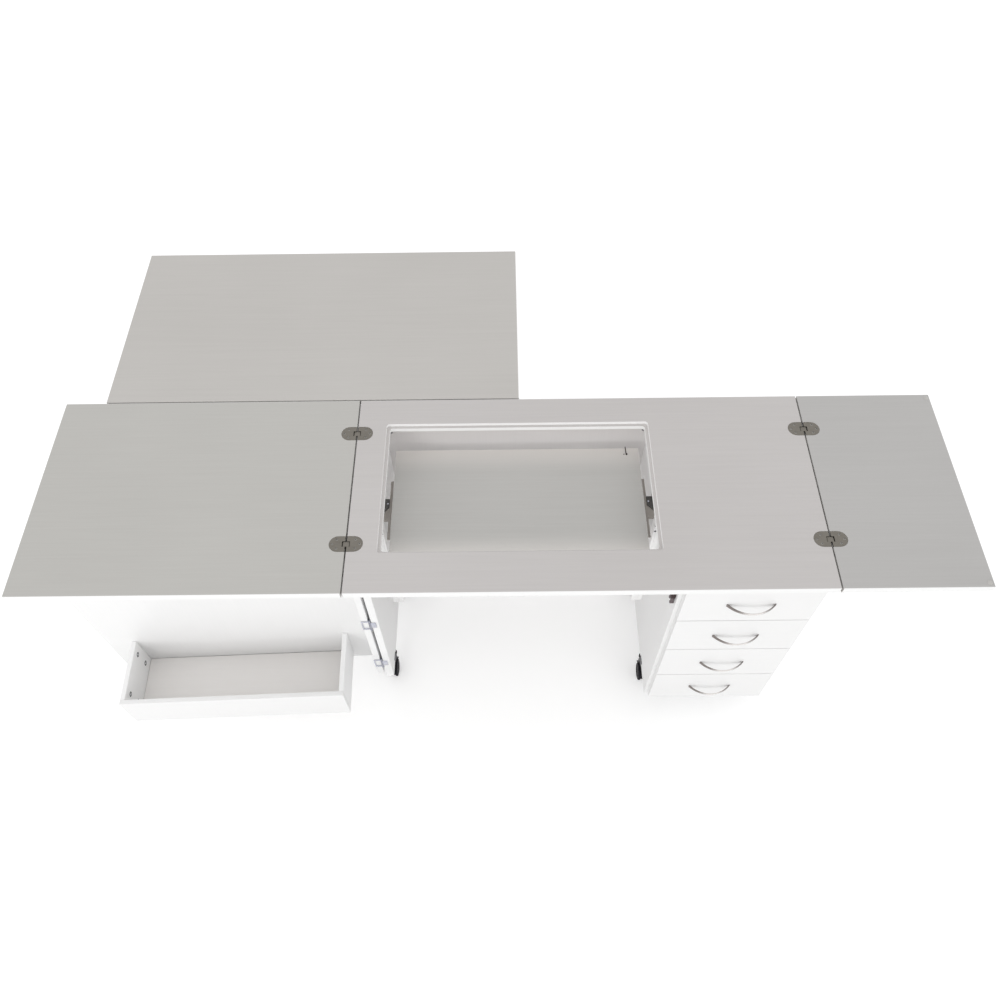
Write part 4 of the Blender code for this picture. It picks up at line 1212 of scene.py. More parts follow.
@dataclass
class Door:
    """The door with its stile, the storage bin on its inner face and its hinges."""

    ajar_deg: float = 1.9
    ease: float = 0.0010
    bin_low: Place = (-0.638, -0.0262, 0.1424)
    bin_high: Place = (-0.078, 0.1438, 0.2664)
    wall: float = 0.012
    front_gap: float = 0.0002
    floor_gap: float = 0.0007
    floor_rise: float = 0.002
    cam_lock: Screw = Screw(0.0070, 0.0020, 0.0004, 0.0016)
    cam_spots: tuple[Spot, ...] = ((0.1178, 0.241), (0.1178, 0.1834), (0.0115, 0.237), (0.0115, 0.1834))
    cam_spin_deg: Spot = (10.0, 23.0)
    axis: Spot = (0.006, 0.09005)
    hinge_labels: tuple[str, ...] = ("lower", "middle", "upper")
    knuckle: float = 0.0031
    tongue_inset: float = 0.012
    tongue_trim: Spot = (0.0015, 0.0030)
    tongue_screw: Spot = (0.0085, 0.008)
    frame_wide: float = 0.020
    frame_trim: Place = (0.0025, 0.0040, 0.0065)
    frame_screw: Place = (0.0125, 0.0040, 0.0028)
    trim_reach: float = 0.03
    trim_ease: float = 0.0002
    leaf_ease: float = 0.0003
    leaf_face: float = 0.00075
    butt_screw: Screw = Screw(0.0017, 0.0009, 0.0002, 0.0004)
    butt_spin_deg: Spot = (20.0, 900.0)
    pivot: Vector = field(init=False)
    turn: Matrix = field(init=False)

    def __post_init__(self) -> None:
        """Works out the turn that opens the door to its photographed place."""
        self.pivot = spot(*self.axis, 0.0)
        turn = Matrix.Rotation(math.radians(self.ajar_deg), 4, "Z")
        self.turn = Matrix.Translation(self.pivot) @ turn @ Matrix.Translation(-self.pivot)

    def build(self) -> None:
        """Builds the door, the bin and the hinges."""
        bm = copy_of("door_tray")
        soften(bm, corner_edges(bm), self.ease)
        # The face that looks back keeps the plain white, and the rest of the door takes the whiter copy, a
        # painted light.
        paint(bm, 1, lambda face: face.normal.y > SQUARE_ON)
        hand_over("door_board", bm, (LIT_DOOR_WHITE, UPRIGHT_WHITE), "door", ("door_tray",))
        self.bin()
        for label in self.hinge_labels:
            self.hinge(label)

    def bin(self) -> None:
        """Builds the bin from a front, two ends and a floor let in between them, with its cam locks."""
        low, high = spot(*self.bin_low), spot(*self.bin_high)
        behind = low.y + self.wall + self.front_gap
        left, right = low.x + self.wall, high.x - self.wall
        gap = self.floor_gap
        boards = {
            "bin_front": (low, Vector((high.x, low.y + self.wall, high.z)), UPRIGHT_WHITE),
            "bin_left_end": (Vector((low.x, behind, low.z)), Vector((left, high.y, high.z)), LIT_PANEL_WHITE),
            "bin_right_end": (Vector((right, behind, low.z)), high, LIT_PANEL_WHITE),
            "bin_floor": (Vector((left + gap, behind + gap, low.z + self.floor_rise)),
                          Vector((right - gap, high.y - gap, low.z + self.wall)), LIT_TRAY_WHITE),
        }
        for name, (corner, far, finish) in boards.items():
            bm = moved(eased_box(corner, far, self.ease), self.turn)
            nodes = ("storage_bin",) if name == "bin_floor" else ()
            hand_over(name, bm, (finish,), "door", nodes)
        first, each = self.cam_spin_deg
        places = []
        for i, (y, z) in enumerate(self.cam_spots):
            for x, facing in ((left, FACING_RIGHT), (right, FACING_LEFT)):
                places.append(self.turn @ aimed(Vector((x, CORNER.y + y, z)), facing, first + each * i))
        self.cam_lock.drive("bin_cam_locks", places, (DARK_SCREW,), "door")

    def hinge(self, label: str) -> None:
        """Builds one butt hinge: a tongue leaf on the panel and a frame leaf on the door.

        Args:
            label: which of the three hinges it is.
        """
        node = f"door_hinge_{label}_panel_leaf"
        low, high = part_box(node)
        z = (low.z + high.z) / 2
        x = self.axis[0]
        side, ends = self.tongue_trim
        half = high.z - z - self.tongue_inset
        out, rise = self.tongue_screw
        low_end, high_end = z - half + ends, z + half - ends
        cuts = self.trims(high.x - CORNER.x - side, x + self.knuckle, 1, z, (low_end, high_end))
        self.leaf(node, "cabinet", cuts, x + out, (z - rise, z + rise), FACING_UP)
        node = f"door_hinge_{label}_door_leaf"
        side, foot, head = self.frame_trim
        half = high.z - z
        out, over, under = self.frame_screw
        edge = x - self.knuckle
        low_end, high_end = z - half + foot, z + half - head
        cuts = self.trims(edge - self.frame_wide + side, edge, -1, z, (low_end, high_end))
        cuts = [moved(cut, self.turn) for cut in cuts]
        self.leaf(node, "door", cuts, x - out, (low_end + over, high_end - under), self.turn)

    def trims(self, tip: float, edge: float, sign: int, middle: float, ends: Spot) -> list[BMesh]:
        """Makes what is trimmed off a hinge leaf.

        Args:
            tip: where the leaf ends, along X.
            edge: where it leaves the knuckle, along X.
            sign: the way from the knuckle to the tip, along X.
            middle: the height of the hinge's middle.
            ends: the heights of the leaf's lower and upper end.

        Returns:
            The shapes past its tip, above it and below it.
        """
        reach, y = self.trim_reach, self.axis[1]
        foot, head = middle - reach, middle + reach
        cuts = []
        for x, z0, z1 in ((tip, foot, head), (edge, ends[1], head), (edge, foot, ends[0])):
            x0, x1 = sorted((x, x + sign * reach))
            cuts.append(eased_box(spot(x0, y - reach, z0), spot(x1, y + reach, z1), self.trim_ease, 1))
        return cuts

    def leaf(self, node: str, body: str, cuts: Sequence[BMesh], x: float, levels: Sequence[float],
             turn: Matrix) -> None:
        """Builds one leaf of a butt hinge with its screws.

        Args:
            node: the CAD node that it stands for.
            body: the body that it rides on.
            cuts: what is trimmed off the leaf, which is used up.
            x: where its screws stand, along X.
            levels: the heights of its screws.
            turn: how far the leaf has swung with the door.
        """
        bm = carve(copy_of(node), cuts)
        bmesh.ops.remove_doubles(bm, verts=bm.verts, dist=SAME)
        soften(bm, corner_edges(bm, SHARP_DEG), self.leaf_ease, 2)
        paint(bm, 1, lambda f: (f.calc_center_median() - self.pivot).xy.length < self.knuckle)
        hand_over(f"{node}_metal", bm, (BRIGHT_NICKEL, KNUCKLE_NICKEL), body, (node,),
                  ROD_ROUND_DEG)
        face = self.axis[1] - self.leaf_face
        first, by_z = self.butt_spin_deg
        places = [turn @ aimed(spot(x, face, z), FACING_FRONT, first + by_z * z) for z in levels]
        self.butt_screw.drive(f"{node}_screws", places, (BRIGHT_NICKEL,), body, "nickel")


@dataclass
class Catch:
    """The sprung catch on the pedestal: a lacquered body with two lobes, and two hanging tongues."""

    body_share: float = 0.52
    body_ease: float = 0.0018
    # The lobes and rolls are rods, given by their radius and the bevel of their ends.
    lobe: Spot = (0.0042, 0.0008)
    lobe_inset: Spot = (0.0004, 0.0045)
    lobe_rise: float = 0.003
    tongue_sides: Spot = (0.0018, 0.0012)
    tongue_wide: float = 0.007
    tongue_ease: float = 0.0010
    tongue_lap: float = 0.002
    tongue_spots: Spot = (0.0012, 0.0082)
    tongue_rises: Spot = (0.0, 0.003)
    roll: Spot = (0.0036, 0.0006)
    roll_sides: Spot = (0.001, 0.0006)

    def build(self) -> None:
        """Builds the body and the tongues."""
        low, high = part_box("door_catch")
        split = low.z + self.body_share * (high.z - low.z)
        parts = [eased_box(Vector((low.x, low.y, split)), high, self.body_ease)]
        inset, across = self.lobe_inset
        z = split + self.lobe_rise
        for y in (low.y + across, high.y - across):
            parts.append(rod(Vector((low.x + inset, y, z)), Vector((high.x - inset, y, z)), *self.lobe))
        hand_over("catch_body", joined(parts), (BROWN_STEEL,), "cabinet", ("door_catch",),
                  ROD_ROUND_DEG)
        parts = []
        left, right = low.x + self.tongue_sides[0], high.x - self.tongue_sides[1]
        start, end = low.x + self.roll_sides[0], high.x - self.roll_sides[1]
        fronts = (low.y + self.tongue_spots[0], high.y - self.tongue_spots[1])
        for y, rise in zip(fronts, self.tongue_rises):
            foot, middle = low.z + self.roll[0] + rise, y + self.tongue_wide / 2
            far = Vector((right, y + self.tongue_wide, split + self.tongue_lap))
            parts.append(eased_box(Vector((left, y, foot)), far, self.tongue_ease))
            parts.append(rod(Vector((start, middle, foot)), Vector((end, middle, foot)), *self.roll))
        hand_over("catch_tongues", joined(parts), (BROWN_TONGUE,), "cabinet", (), ROD_ROUND_DEG)


@dataclass
class Lift:
    """The machine lift: guide boards, spring, carriage and platform."""

    ease: float = 0.0009
    metal_ease: float = 0.0008
    thin_ease: float = 0.0006
    running: float = 0.0005
    post_y: Spot = (0.2127, 0.4477)
    groove_y: Spot = (0.2382, 0.2972)
    post_z: Spot = (0.298, 0.7497)
    left_x: Place = (0.0415, 0.052, 0.0575)
    right_x: Place = (0.692, 0.6815, 0.676)
    wall_x: Spot = (0.0276, 0.7077)
    spacer_back: float = 0.010
    foot: Place = (0.0115, 0.030, 0.030)
    foot_back: float = 0.0001
    bar_y: Spot = (0.3037, 0.3177)
    bar_height: float = 0.040
    bar_rise: float = 0.0005
    platform_x: Spot = (0.078, 0.6555)
    under: float = 0.6647
    flange_y: Spot = (0.1882, 0.3472)
    flange_reach: float = 0.0092
    flange_under: float = 0.022
    flange: float = 0.004
    flange_drop: float = 0.0001
    bridge: float = 0.006
    slider: float = 0.100
    slider_drop: float = 0.0005
    shoe: float = 0.0045
    cap_x: Spot = (0.0004, 0.0168)
    cap_front: float = 0.010
    cap_z: Spot = (-0.0005, 0.0021)
    cap_corner: Spot = (0.005, 0.0220)
    cap_slant: Spot = (0.0150, -0.0139)
    bolt: tuple[Spot, ...] = ((0.0, 0.0011), (0.0017, 0.0011), (0.0022, 0.0007), (0.0022, -0.001),
                              (0.0, -0.001))
    bolt_spot: Spot = (0.0130, 0.0140)
    bolt_steps: int = 24
    spring: Spot = (0.1175, 0.3257)
    spring_radius: float = 0.011
    spring_ease: float = 0.0015
    spring_top: float = 0.4637
    spring_steps: int = 32
    # The bore and the rod are given by their radius and the bevel of their ends.
    bore: Spot = (0.0045, 0.0002)
    bore_deep: float = 0.03
    bore_above: float = 0.01
    arm_half: float = 0.006
    arm_lap: float = 0.008
    arm_drop: float = 0.012
    arm_tall: float = 0.015
    rod_size: Spot = (0.0035, 0.0006)
    rod_lap: float = 0.006
    post_screw: Screw = Screw(0.0031, 0.0008, 0.0016, 0.0005)
    post_screw_z: Spot = (0.648, 0.671)
    post_screw_inset: float = 0.0034
    post_spin_deg: float = 900.0

    def build(self) -> None:
        """Builds the fixed frame first, then what moves."""
        self.frame_boards()
        self.spring_tube()
        self.carriage()
        bm = copy_of("lift_platform")
        soften(bm, outline_edges(bm, *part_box("lift_platform")), self.ease)
        paint(bm, 1, lambda face: abs(face.normal.z) < SQUARE_ON)
        # The platform's finish carries painted shade in its grey and painted light at its front and rear
        # edges.
        hand_over("platform_board", bm, (SHADED_PLATFORM, EDGE_BAND), "lift", ("lift_platform",))

    def frame_boards(self) -> None:
        """Builds each guide board with its two cheeks, foot and spacer, then the screws and the bar."""
        z0, z1 = self.post_z
        y0, y1 = self.post_y
        g0, g1 = self.groove_y
        reach, deep, tall = self.foot
        screws = []
        sides = (("left", self.left_x, self.wall_x[0], 1), ("right", self.right_x, self.wall_x[1], -1))
        for side, (back, floor, face), wall, sign in sides:
            boards = {
                "guide_board": ((back, y0, z0), (floor, y1, z1)),
                "front_cheek": ((floor, y0, z0), (face, g0, z1)),
                "rear_cheek": ((floor, g1, z0), (face, y1, z1)),
                "foot": ((face, y0 + self.foot_back, z0), (face + sign * reach, y0 + deep, z0 + tall)),
                "spacer": ((wall, y0 + self.spacer_back, z0 + tall), (back, y1, z1)),
            }
            for label, (a, b) in boards.items():
                x0, x1 = sorted((a[0], b[0]))
                bm = eased_box(spot(x0, *a[1:]), spot(x1, *b[1:]), self.ease)
                nodes = ("lift_frame",) if (side, label) == ("left", "guide_board") else ()
                # The guide boards take the rim's whiter copy, a painted light.
                hand_over(f"lift_{side}_{label}", bm, (LIT_RIM_WHITE,), "cabinet", nodes)
            inset = face - sign * self.post_screw_inset
            for z in self.post_screw_z:
                screws.append(aimed(spot(inset, y0, z), FACING_FRONT, self.post_spin_deg * z))
        self.post_screw.drive("lift_post_screws", screws, (DARK_SCREW,), "cabinet")
        bar = eased_box(spot(self.left_x[1], self.bar_y[0], z0 + self.bar_rise),
                        spot(self.right_x[1], self.bar_y[1], z0 + self.bar_height), self.ease)
        hand_over("lift_cross_bar", bar, (LEVEL_WHITE,), "cabinet")

    def spring_tube(self) -> None:
        """Builds the spring's cylinder, which is bored for the rod."""
        x, y = self.spring
        top = self.spring_top
        low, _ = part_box("lift_frame")
        tube = rod(spot(x, y, low.z), spot(x, y, top), self.spring_radius, self.spring_ease,
                   self.spring_steps)
        bore = rod(spot(x, y, top - self.bore_deep), spot(x, y, top + self.bore_above), *self.bore)
        hand_over("spring_cylinder", carve(tube, [bore]), (CHARCOAL_STEEL,), "cabinet", (),
                  ROD_ROUND_DEG)

    def carriage(self) -> None:
        """Builds the bridge, both sides and the spring's rod and arm."""
        g0, g1 = self.groove_y[0] + self.running, self.groove_y[1] - self.running
        x0, x1 = self.left_x[1] + self.running, self.right_x[1] - self.running
        bridge = eased_box(spot(x0, g0, self.under - self.bridge), spot(x1, g1, self.under),
                           self.metal_ease)
        hand_over("lift_bridge", bridge, (PAINTED_STEEL,), "lift", ("lift_carriage",))
        self.side("left", 1, x0, self.platform_x[0])
        self.side("right", -1, x1, self.platform_x[1])
        x, y = self.spring
        low = self.under - self.bridge - self.arm_drop
        half = self.arm_half
        arm = eased_box(spot(x - half, g1 - self.arm_lap, low),
                        spot(x + half, y + half, low + self.arm_tall), self.metal_ease)
        hand_over("spring_arm", arm, (GREY_STEEL,), "lift", ())
        base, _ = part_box("lift_carriage")
        stem = rod(spot(x, y, base.z), spot(x, y, low + self.rod_lap), *self.rod_size)
        hand_over("spring_rod", stem, (CHROME_ROD,), "lift", (), ROD_ROUND_DEG)

    def side(self, side: str, sign: int, outer: float, edge: float) -> None:
        """Builds the slider, flange, cap and bolt at one side of the platform.

        Args:
            side: the side's name.
            sign: the way from that side to the platform's middle, along X.
            outer: the slider's outer face.
            edge: the platform's edge.
        """
        g0, g1 = self.groove_y[0] + self.running, self.groove_y[1] - self.running
        top = self.under
        x0, x1 = sorted((outer, outer + sign * self.shoe))
        slider = eased_box(spot(x0, g0, top - self.slider), spot(x1, g1, top - self.slider_drop),
                           self.metal_ease)
        hand_over(f"lift_{side}_slider", slider, (WHITE_STEEL,), "lift", ())
        y0, y1 = self.flange_y
        x0, x1 = sorted((edge - sign * self.flange_reach, edge + sign * self.flange_under))
        flange = eased_box(spot(x0, y0, top - self.flange), spot(x1, y1, top - self.flange_drop),
                           self.thin_ease)
        hand_over(f"lift_{side}_flange", flange, (PAINTED_STEEL,), "lift", ())
        x0, x1 = sorted(outer + sign * x for x in self.cap_x)
        under, over = (top + z for z in self.cap_z)
        cap = eased_box(spot(x0, g0 + self.cap_front, under), spot(x1, g1, over), self.thin_ease)
        (x, y), (nx, ny) = self.cap_corner, self.cap_slant
        cut_off(cap, spot(outer + sign * x, g0 + y, top), (sign * nx, ny, 0.0))
        hand_over(f"lift_{side}_cap", cap, (CHARCOAL_STEEL,), "lift", ())
        x, y = self.bolt_spot
        bolt = turned(self.bolt, self.bolt_steps)
        moved(bolt, aimed(spot(outer + sign * x, g1 - y, over), FACING_UP))
        hand_over(f"lift_{side}_bolt", bolt, (BRIGHT_NICKEL,), "lift", (), ROD_ROUND_DEG)


@dataclass
class Casters:
    """Six twin-wheel casters."""

    names: tuple[str, ...] = ("left_front", "left_rear", "middle_front", "middle_rear", "right_front",
                              "right_rear")
    radius: float = 0.025
    trail: float = 0.018
    height: float = 0.090
    inner: float = 0.0031
    outer: float = 0.0116
    # A wheel's section: its face by radius and depth, then its rounded edges by their way from the rim.
    face: tuple[Spot, ...] = ((0.0, 0.0012), (0.0050, 0.0012), (0.0058, 0.0018), (0.0150, 0.0022),
                              (0.0168, 0.0008), (0.0190, 0.0), (0.0212, 0.0003))
    outer_round: tuple[Spot, ...] = ((0.0012, 0.0012), (0.0, 0.0032))
    inner_round: tuple[Spot, ...] = ((0.0, 0.0026), (0.0010, 0.0008), (0.0026, 0.0))
    wheel_steps: int = 56
    tread_from: float = 0.0205
    spindle: Spot = (0.004, 0.0003)
    spindle_lap: float = 0.001
    shell_gaps: Spot = (0.002, 0.005)
    shell_start_deg: float = 20.0
    shell_sweep_deg: float = 140.0
    shell_steps: int = 24
    edge_deg: float = 50.0
    ease: float = 0.0010
    web: float = 0.005
    web_reach: float = 0.010
    web_rise: float = 0.028
    neck_foot: float = 0.050
    neck_radii: Spot = (0.010, 0.0125)
    collar: Spot = (0.006, 0.003)
    head_gap: float = 0.0003
    round_deg: float = 40.0

    def build(self) -> None:
        """Builds the hood and the wheels of each caster."""
        for name in self.names:
            x, y, _ = joint(f"{name}_swivel")["pos_m"]
            axis = joint(f"{name}_roll")["axis"]
            place = Matrix.Translation((x, y, 0.0)) @ Matrix.Rotation(math.atan2(axis[1], axis[0]), 4, "Z")
            self.wheels(name, place)
            self.hood(name, place)

    def axle(self) -> Matrix:
        """Returns the way from the swivel's foot to the wheels' axis."""
        return Matrix.Translation((0.0, -self.trail, self.radius))

    def wheel(self, sign: int) -> BMesh:
        """Turns one wheel about X.

        Args:
            sign: the side of the web that it is on.

        Returns:
            The wheel.
        """
        section = [(radius, self.outer - deep) for radius, deep in self.face]
        section += [(self.radius - drop, self.outer - deep) for drop, deep in self.outer_round]
        section += [(self.radius - drop, self.inner + rise) for drop, rise in self.inner_round]
        bm = turned((*section, (0.0, self.inner)), self.wheel_steps)
        return moved(bm, Matrix.Rotation(sign * QUARTER, 4, "Y"))

    def wheels(self, name: str, place: Matrix) -> None:
        """Builds both wheels and their spindle.

        Args:
            name: the caster's name.
            place: where it stands and which way it is turned.
        """
        end = self.inner + self.spindle_lap
        spindle = rod(Vector((-end, 0, 0)), Vector((end, 0, 0)), *self.spindle)
        bm = joined([self.wheel(1), self.wheel(-1), spindle])
        paint(bm, 1, lambda face: face.calc_center_median().yz.length > self.tread_from)
        moved(bm, place @ self.axle())
        node = f"{name}_caster_wheels"
        hand_over(f"{node}_turned", bm, (BLACK_PLASTIC, BLACK_TREAD), f"{name}_wheels", (node,),
                  ROD_ROUND_DEG)

    def shell(self) -> BMesh:
        """Sweeps the hood's shell over the wheels.

        Returns:
            The shell, beside the swivel's foot.
        """
        inside, outside = (self.radius + gap for gap in self.shell_gaps)
        bm = outline()
        bmesh.ops.scale(bm, vec=(2 * self.outer, outside - inside, 1.0), verts=bm.verts)
        bmesh.ops.translate(bm, vec=(0.0, (outside + inside) / 2, 0.0), verts=bm.verts)
        start, sweep = math.radians(self.shell_start_deg), math.radians(self.shell_sweep_deg)
        closed(swept(bm, "X", start, sweep, self.shell_steps))
        soften(bm, corner_edges(bm, self.edge_deg), self.ease, 2)
        return moved(bm, self.axle())

    def hood(self, name: str, place: Matrix) -> None:
        """Builds the hood over the wheels, with its web, neck and collar.

        Args:
            name: the caster's name.
            place: where it stands and which way it is turned.
        """
        half, reach = self.web / 2, self.web_reach
        web = eased_box(Vector((-half, -self.trail - reach, self.radius - reach)),
                        Vector((half, reach, self.radius + self.web_rise)), self.ease)
        top = self.height - self.head_gap
        thin, wide = self.neck_radii
        under, over = (top - drop for drop in self.collar)
        neck = turned(((0.0, self.neck_foot), (thin, self.neck_foot), (thin, under), (wide, over),
                       (wide, top), (0.0, top)))
        bm = moved(joined([self.shell(), web, neck]), place)
        node = f"{name}_caster_hood"
        hand_over(f"{node}_moulded", bm, (BLACK_PLASTIC,), f"{name}_swivel", (node,),
                  self.round_deg)


@dataclass
class RearGear:
    """The rail, carriage and hinge that carry the rear leaf."""

    ease: float = 0.0005
    pieces: tuple[tuple[str, str], ...] = (
        ("quilt_rail", "cabinet"), ("quilt_carriage", "quilt_carriage"), ("quilt_hinge", "quilt_leaf"))
    screw: Screw = Screw(0.0032, 0.0012, 0.0004, 0.0008)
    rail_screws: int = 7
    rail_spin_deg: float = 33.0
    strap_screws: int = 6
    strap_spin_deg: float = 41.0
    strap_thick: float = 0.0025
    strap_inset: float = 0.018

    def build(self) -> None:
        """Builds the three metal pieces and their screws."""
        for node, body in self.pieces:
            bm = copy_of(node)
            soften(bm, corner_edges(bm, SHARP_DEG), self.ease, 2)
            hand_over(f"{node}_metal", bm, (GREY_STEEL,), body, (node,), ROD_ROUND_DEG)
        low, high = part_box("quilt_rail")
        middle = (low.z + high.z) / 2
        places = [aimed(Vector((x, high.y, middle)), FACING_BACK, self.rail_spin_deg * i)
                  for i, x in enumerate(spaced(low.x, high.x, self.rail_screws))]
        self.screw.drive("quilt_rail_screws", places, (DARK_SCREW,), "cabinet")
        low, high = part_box("quilt_hinge")
        y, z = high.y - self.strap_inset, high.z - self.strap_thick
        places = [aimed(Vector((x, y, z)), FACING_DOWN, self.strap_spin_deg * i)
                  for i, x in enumerate(spaced(low.x, high.x, self.strap_screws))]
        self.screw.drive("quilt_hinge_screws", places, (DARK_SCREW,), "quilt_leaf")


@dataclass
class SmallTrim:
    """Bumpers, levelling screws, the platform's hook and the casters' straps."""

    bumper: tuple[Spot, ...] = ((0.0, 0.0030), (0.0025, 0.0028), (0.0044, 0.0018), (0.0054, 0.0),
                                (0.0, 0.0))
    bumper_spots: tuple[Spot, ...] = ((1.326, 0.011), (1.326, 0.497))
    levelling_spots: tuple[Spot, ...] = ((0.0746, 0.4268), (0.6589, 0.4268), (0.0746, 0.1047),
                                         (0.6589, 0.1047))
    levelling: Screw = Screw(0.0024, 0.0005, 0.0006, 0.0005)
    levelling_spin_deg: Spot = (20.0, 300.0)
    tab: float = 0.0026
    tab_ease: float = 0.0005
    tab_z: Spot = (0.7476, 0.7494)
    hook: Place = (0.6252, 0.4145, 0.683)
    stem: tuple[Place, Place] = ((0.0, -0.010, 0.0012), (-0.0006, 0.012, 0.0012))
    stem_size: tuple[float, float, int] = (0.0010, 0.0003, 12)
    hook_foot: tuple[Spot, ...] = ((0.0, 0.0020), (0.0018, 0.0018), (0.0024, 0.0008), (0.0024, 0.0),
                                   (0.0, 0.0))
    hook_pin: tuple[Spot, ...] = ((0.0, 0.0012), (0.0011, 0.0010), (0.0014, 0.0), (0.0, 0.0))
    foot_x: float = 0.0012
    pin_x: float = -0.0050
    hook_front: float = 0.009
    foot_steps: int = 16
    pin_steps: int = 12
    strap: Place = (0.0022, 0.024, 0.016)
    strap_rear: float = -0.005
    strap_ease: float = 0.0006

    def build(self) -> None:
        """Builds the small pieces."""
        places = [aimed(spot(x, y, TOP_Z), FACING_UP) for x, y in self.bumper_spots]
        bumpers = set_out(lambda: turned(self.bumper), places)
        hand_over("leaf_bumpers", bumpers, (CLEAR_RUBBER,), "right_leaf", (), ROD_ROUND_DEG)
        low, high = self.tab_z
        half = self.tab
        tabs = [eased_box(spot(x - half, y - half, low), spot(x + half, y + half, high), self.tab_ease)
                for x, y in self.levelling_spots]
        hand_over("levelling_tabs", joined(tabs), (GREY_STEEL,), "cabinet", ())
        first, by_x = self.levelling_spin_deg
        places = [aimed(spot(x, y, high), FACING_UP, first + by_x * x) for x, y in self.levelling_spots]
        self.levelling.drive("levelling_screws", places, (CHARCOAL_STEEL,), "cabinet")
        self.platform_hook()
        self.caster_straps()

    def platform_hook(self) -> None:
        """Builds the small dark hook that is fixed near the platform's rear right corner."""
        x, y, z = self.hook
        start, end = (spot(x + dx, y + dy, z + dz) for dx, dy, dz in self.stem)
        parts = [rod(start, end, *self.stem_size)]
        for profile, steps, dx in ((self.hook_foot, self.foot_steps, self.foot_x),
                                   (self.hook_pin, self.pin_steps, self.pin_x)):
            place = spot(x + dx, y - self.hook_front, z)
            parts.append(moved(turned(profile, steps), Matrix.Translation(place)))
        hand_over("platform_hook", joined(parts), (BROWN_STEEL,), "lift", (), ROD_ROUND_DEG)

    def caster_straps(self) -> None:
        """Builds the straps that hold the casters' sockets to the knee side of the panels."""
        thick, long, tall = self.strap
        for side, node, sign in (("left", "left_side_panel", 1), ("middle", "pedestal_left_panel", -1)):
            low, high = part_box(node)
            face = high.x if sign > 0 else low.x
            x0, x1 = sorted((face, face + sign * thick))
            for row in ("front", "rear"):
                rear = joint(f"{side}_{row}_swivel")["pos_m"][1] + self.strap_rear
                bm = eased_box(Vector((x0, rear - long, low.z)), Vector((x1, rear, low.z + tall)),
                               self.strap_ease)
                hand_over(f"{side}_{row}_caster_strap", bm, (DARK_SCREW,), "cabinet", ())


# Studio

@dataclass(frozen=True)
class Lamp:
    """A soft square lamp."""

    name: str
    place: Place
    target: Place
    size: Spot
    watts: float

    def build(self) -> None:
        """Hangs the lamp and aims it."""
        light = bpy.data.lights.new(self.name, "AREA")
        light.shape = "RECTANGLE"
        light.size, light.size_y = self.size
        light.energy = self.watts
        holder = in_scene(self.name, light)
        aim = Vector(self.target) - Vector(self.place)
        turn = aim.to_track_quat("-Z", "Y").to_matrix().to_4x4()
        holder.matrix_world = Matrix.Translation(self.place) @ turn
        holder.visible_glossy = False


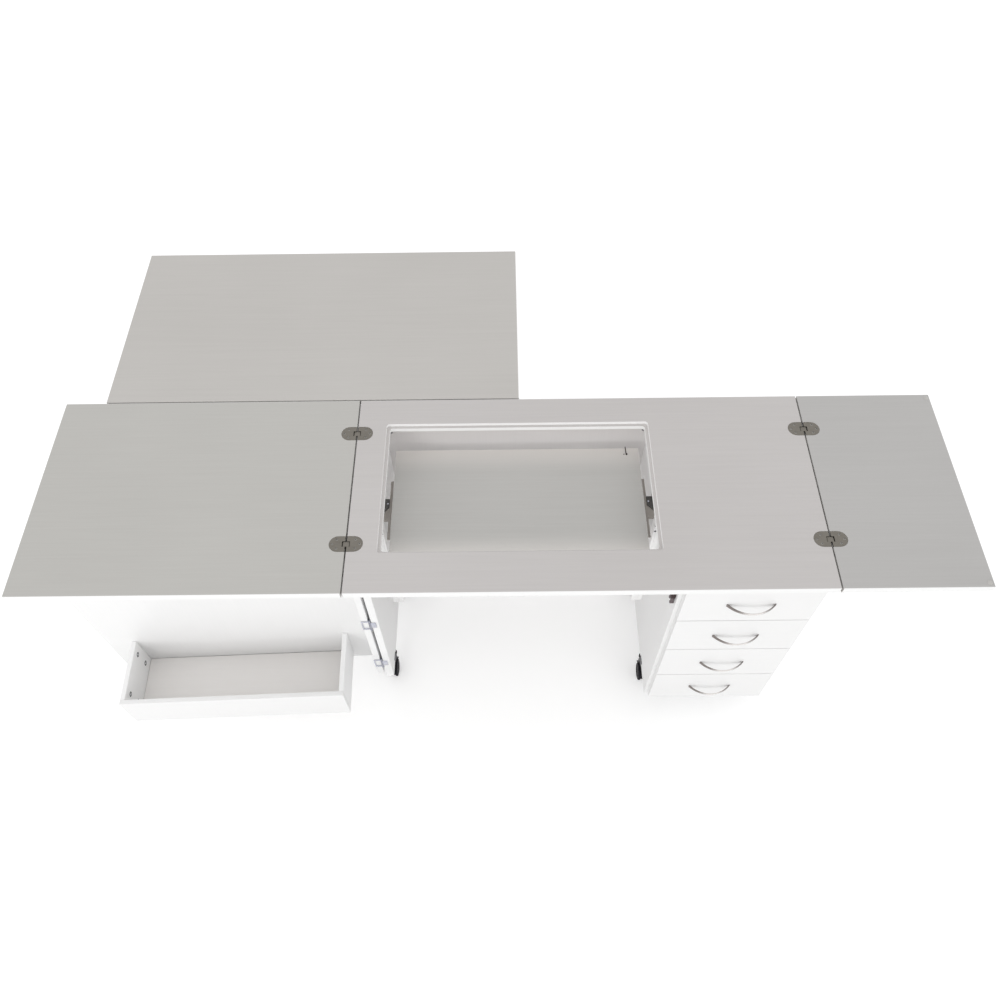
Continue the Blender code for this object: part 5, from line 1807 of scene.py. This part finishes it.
@dataclass
class Studio:
    """A pale floor, soft lamps and a camera where the photograph was taken from."""

    eye: Place = (0.01876, -1.29611, 2.36518)
    pitch_deg: float = 57.0413
    yaw_deg: float = -0.4792
    roll_deg: float = -1.0086
    lens: float = 31.416
    sensor: float = 36.0
    far: float = 100.0
    floor_half: float = 14.0
    floor_drop: float = 0.0002
    ambient: float = 0.91
    floor_glow: float = 0.36
    floor_shade: float = 0.80
    white: tuple[float, float, float, float] = (1.0, 1.0, 1.0, 1.0)
    lamps: tuple[Lamp, ...] = (
        Lamp("key_lamp", (-2.0, -5.0, 2.5), (0.0, -0.25, 0.4), (1.2, 0.9), 33.0),
        Lamp("front_lamp", (0.0, -5.2, 1.0), (0.0, -0.25, 0.5), (3.0, 0.4), 10.0),
        Lamp("left_lamp", (-4.3, -3.2, 1.1), (0.0, -0.25, 0.5), (3.0, 1.4), 26.0),
        Lamp("right_lamp", (4.3, -3.2, 1.1), (0.0, -0.25, 0.5), (3.0, 1.4), 20.0),
    )

    def build(self) -> None:
        """Sets up the floor, the world, the lamps and the camera."""
        bpy.context.scene.view_settings.view_transform = "Standard"
        self.floor()
        self.world()
        for lamp in self.lamps:
            lamp.build()
        self.camera()

    def floor(self) -> None:
        """Lays the floor, which looks white, keeps the cabinet's shadow and gives off no light."""
        bm = bmesh.new()
        bmesh.ops.create_grid(bm, x_segments=2, y_segments=2, size=self.floor_half)
        bmesh.ops.translate(bm, vec=(0.0, 0.0, -self.floor_drop), verts=bm.verts)
        material = bpy.data.materials.new("studio_floor")
        material.use_nodes = True
        sheet = NodeSheet(material.node_tree)
        sheet.nodes.clear()
        grey = (self.floor_shade, self.floor_shade, self.floor_shade, 1.0)
        shade = sheet.add("ShaderNodeBsdfDiffuse", {"Color": grey})
        shown = sheet.maths("MULTIPLY", sheet.seen_directly(), self.floor_glow)
        glow = sheet.add("ShaderNodeEmission", {"Strength": shown})
        both = sheet.add("ShaderNodeAddShader", {0: shade.outputs[0], 1: glow.outputs[0]})
        sheet.add("ShaderNodeOutputMaterial", {"Surface": both.outputs[0]})
        mesh = settled(bm, "studio_floor")
        mesh.materials.append(material)
        in_scene("studio_floor", mesh)

    def world(self) -> None:
        """Fills the room with even light, and shows white to the camera."""
        world = bpy.data.worlds.new("studio_room")
        world.use_nodes = True
        sheet = NodeSheet(world.node_tree)
        sheet.nodes.clear()
        fill = sheet.add("ShaderNodeBackground", {"Color": self.white, "Strength": self.ambient})
        plain = sheet.add("ShaderNodeBackground", {"Color": self.white, "Strength": 1.0})
        mix = sheet.add("ShaderNodeMixShader", {
            0: sheet.seen_directly(), 1: fill.outputs[0], 2: plain.outputs[0]})
        sheet.add("ShaderNodeOutputWorld", {"Surface": mix.outputs[0]})
        bpy.context.scene.world = world

    def camera(self) -> None:
        """Puts the camera at the photograph's viewing angle."""
        pitch, yaw, roll = (math.radians(a) for a in (self.pitch_deg, self.yaw_deg, self.roll_deg))
        ahead = Vector((math.sin(yaw) * math.cos(pitch), math.cos(yaw) * math.cos(pitch), -math.sin(pitch)))
        right = Vector((math.cos(yaw), -math.sin(yaw), 0.0))
        up = right.cross(ahead)
        across = right * math.cos(roll) + up * math.sin(roll)
        upright = up * math.cos(roll) - right * math.sin(roll)
        lens = bpy.data.cameras.new("photo_camera")
        lens.sensor_width = self.sensor
        lens.lens = self.lens
        lens.clip_end = self.far
        holder = in_scene("photo_camera", lens)
        turn = Matrix((across, upright, -ahead)).transposed().to_4x4()
        holder.matrix_world = Matrix.Translation(self.eye) @ turn
        bpy.context.scene.camera = holder


def main() -> None:
    """Builds the sub-assemblies in order, then the studio round them."""
    logging.basicConfig(level=logging.INFO, format="%(name)s: %(message)s")
    parts = (Tops(), LeafHinges(), Carcass(), Drawers(), Door(), Catch(), Lift(), Casters(), RearGear(),
             SmallTrim())
    for part in parts:
        LOG.info("building %s", type(part).__name__)
        part.build()
    Studio().build()


if __name__ == "__main__":
    main()
